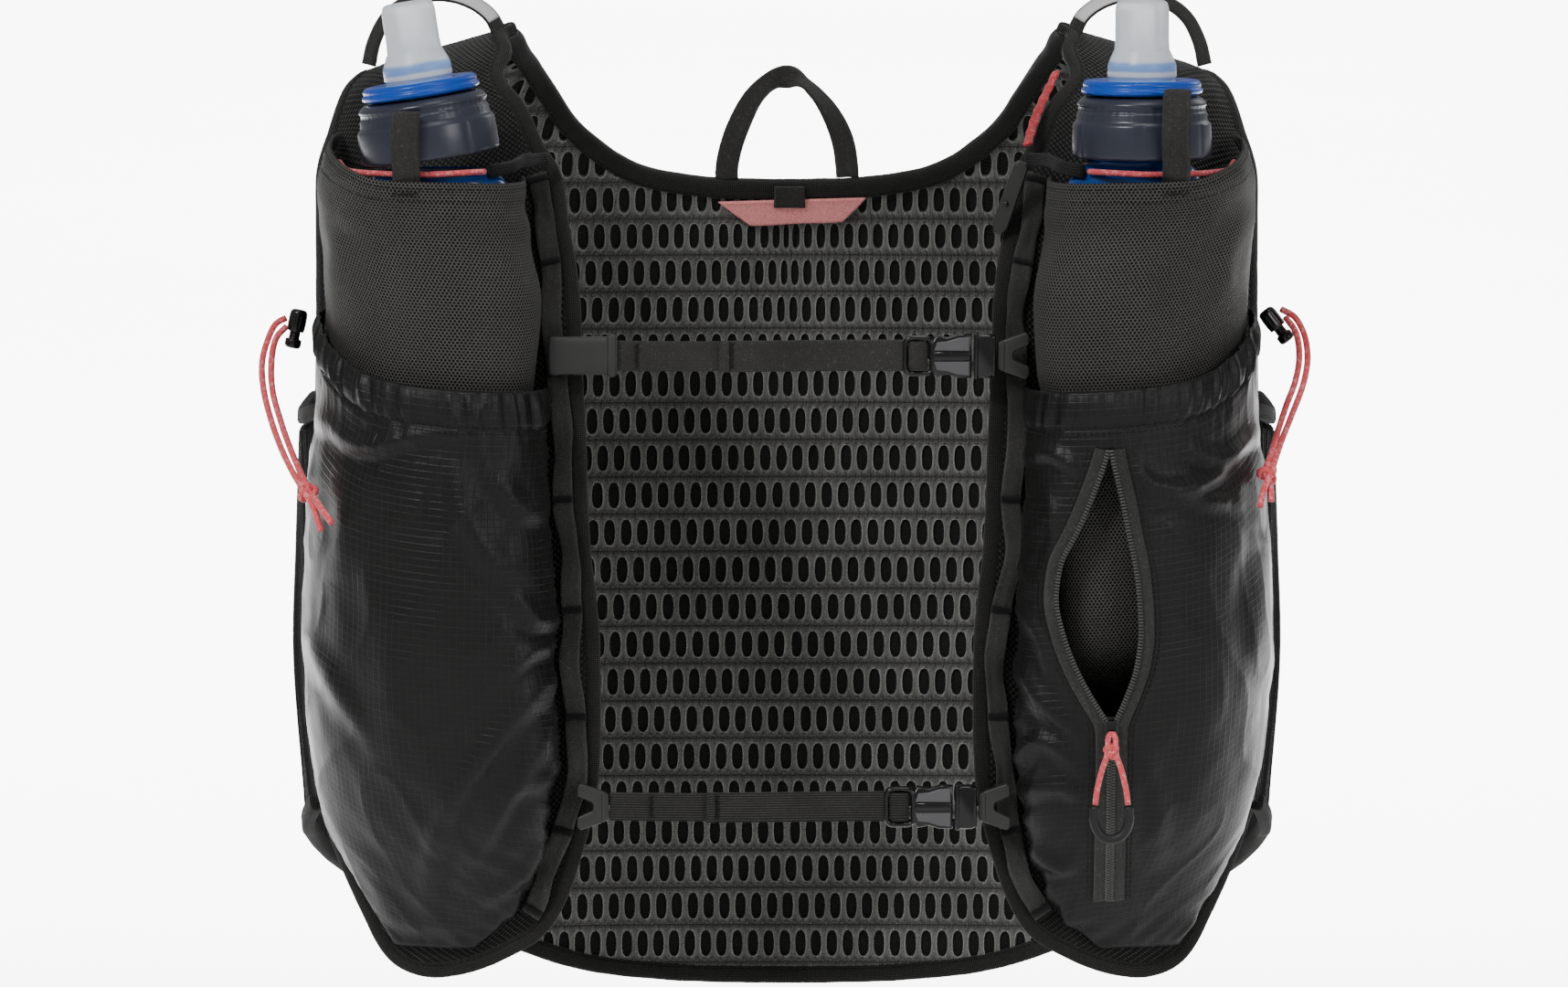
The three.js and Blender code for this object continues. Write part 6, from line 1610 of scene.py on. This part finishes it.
V, f, uv, side = grid_solid(P, -N, 0.7, U, W)
build("collar_tab", V, f, uv, "webbing", "webbing")

LN = even(catmull(rows3((97.6, -31, -5.6), (94.6, -38, -11.5), (91.6, -46.4, -17.2), (88.6, -56, -24), (86.6, -66, -30))), step=0.8)
Tn = tangents(LN)
q = np.linspace(0, 1, len(LN))
fd = np.tile(np.array([[-0.35, -0.8, 0.4]]), (len(LN), 1)) + 0.5 * np.sin(q * 4 - 1)[:, None] * np.array([[0.8, 0, 0.2]])
Fn = unit(fd - (fd * Tn).sum(1, keepdims=True) * Tn)
sweep("lanyard_braid", LN, unit(np.cross(Tn, Fn)), Fn, rounded(3.3, 1.4, 14, 2.6), "lanyardcord", "lanyard", scale=1 + 0.1 * np.sin(q * 40), replaces=("whistle_lanyard",))

# ---------------------------------------------------------------- rigid CAD parts keep their own form
for node, mat, slot in (("whistle", "whistle", "rubber_trim"), ("zip_slider", "gloss", "gloss_buckle")):
    if mat == "whistle":
        M["whistle"] = plastic("whistle tab", rgb(58, 58, 57), 0.45, grain=0.00003)
    o = NODES[node]
    o.data.materials.clear()
    o.data.materials.append(M[mat])
    b = o.modifiers.new("edges", "BEVEL")
    b.width, b.segments, b.limit_method = 0.0004, 3, "ANGLE"
V, f, uv = lathe_data([(0, 0.3), (0.75, 0.3), (0.9, 0), (0.9, -0.4), (0, -0.4)], 20, (0, 0, 0), 0)
V = np.stack([V[:, 0], -V[:, 2], V[:, 1]], -1) + np.array([78.6, -79.6, -50.5])
build("whistle_dot", V, f, None, "gloss", "rubber_trim")

# ---------------------------------------------------------------- floor
me = bpy.data.meshes.new("floor")
me.from_pydata([(-25, -18, -0.62), (25, -18, -0.62), (25, 60, -0.62), (-25, 60, -0.62)], [], [(0, 1, 2, 3)])
floor = bpy.data.objects.new("floor", me)
scene.collection.objects.link(floor)
fm = Mat("pale floor", Roughness=0.9)
fm.base(fm.mix(fm.range(fm.noise(0.4, 2), 0.3, 0.7, 0, 1), rgb(246), rgb(252)))
me.materials.append(fm.m)
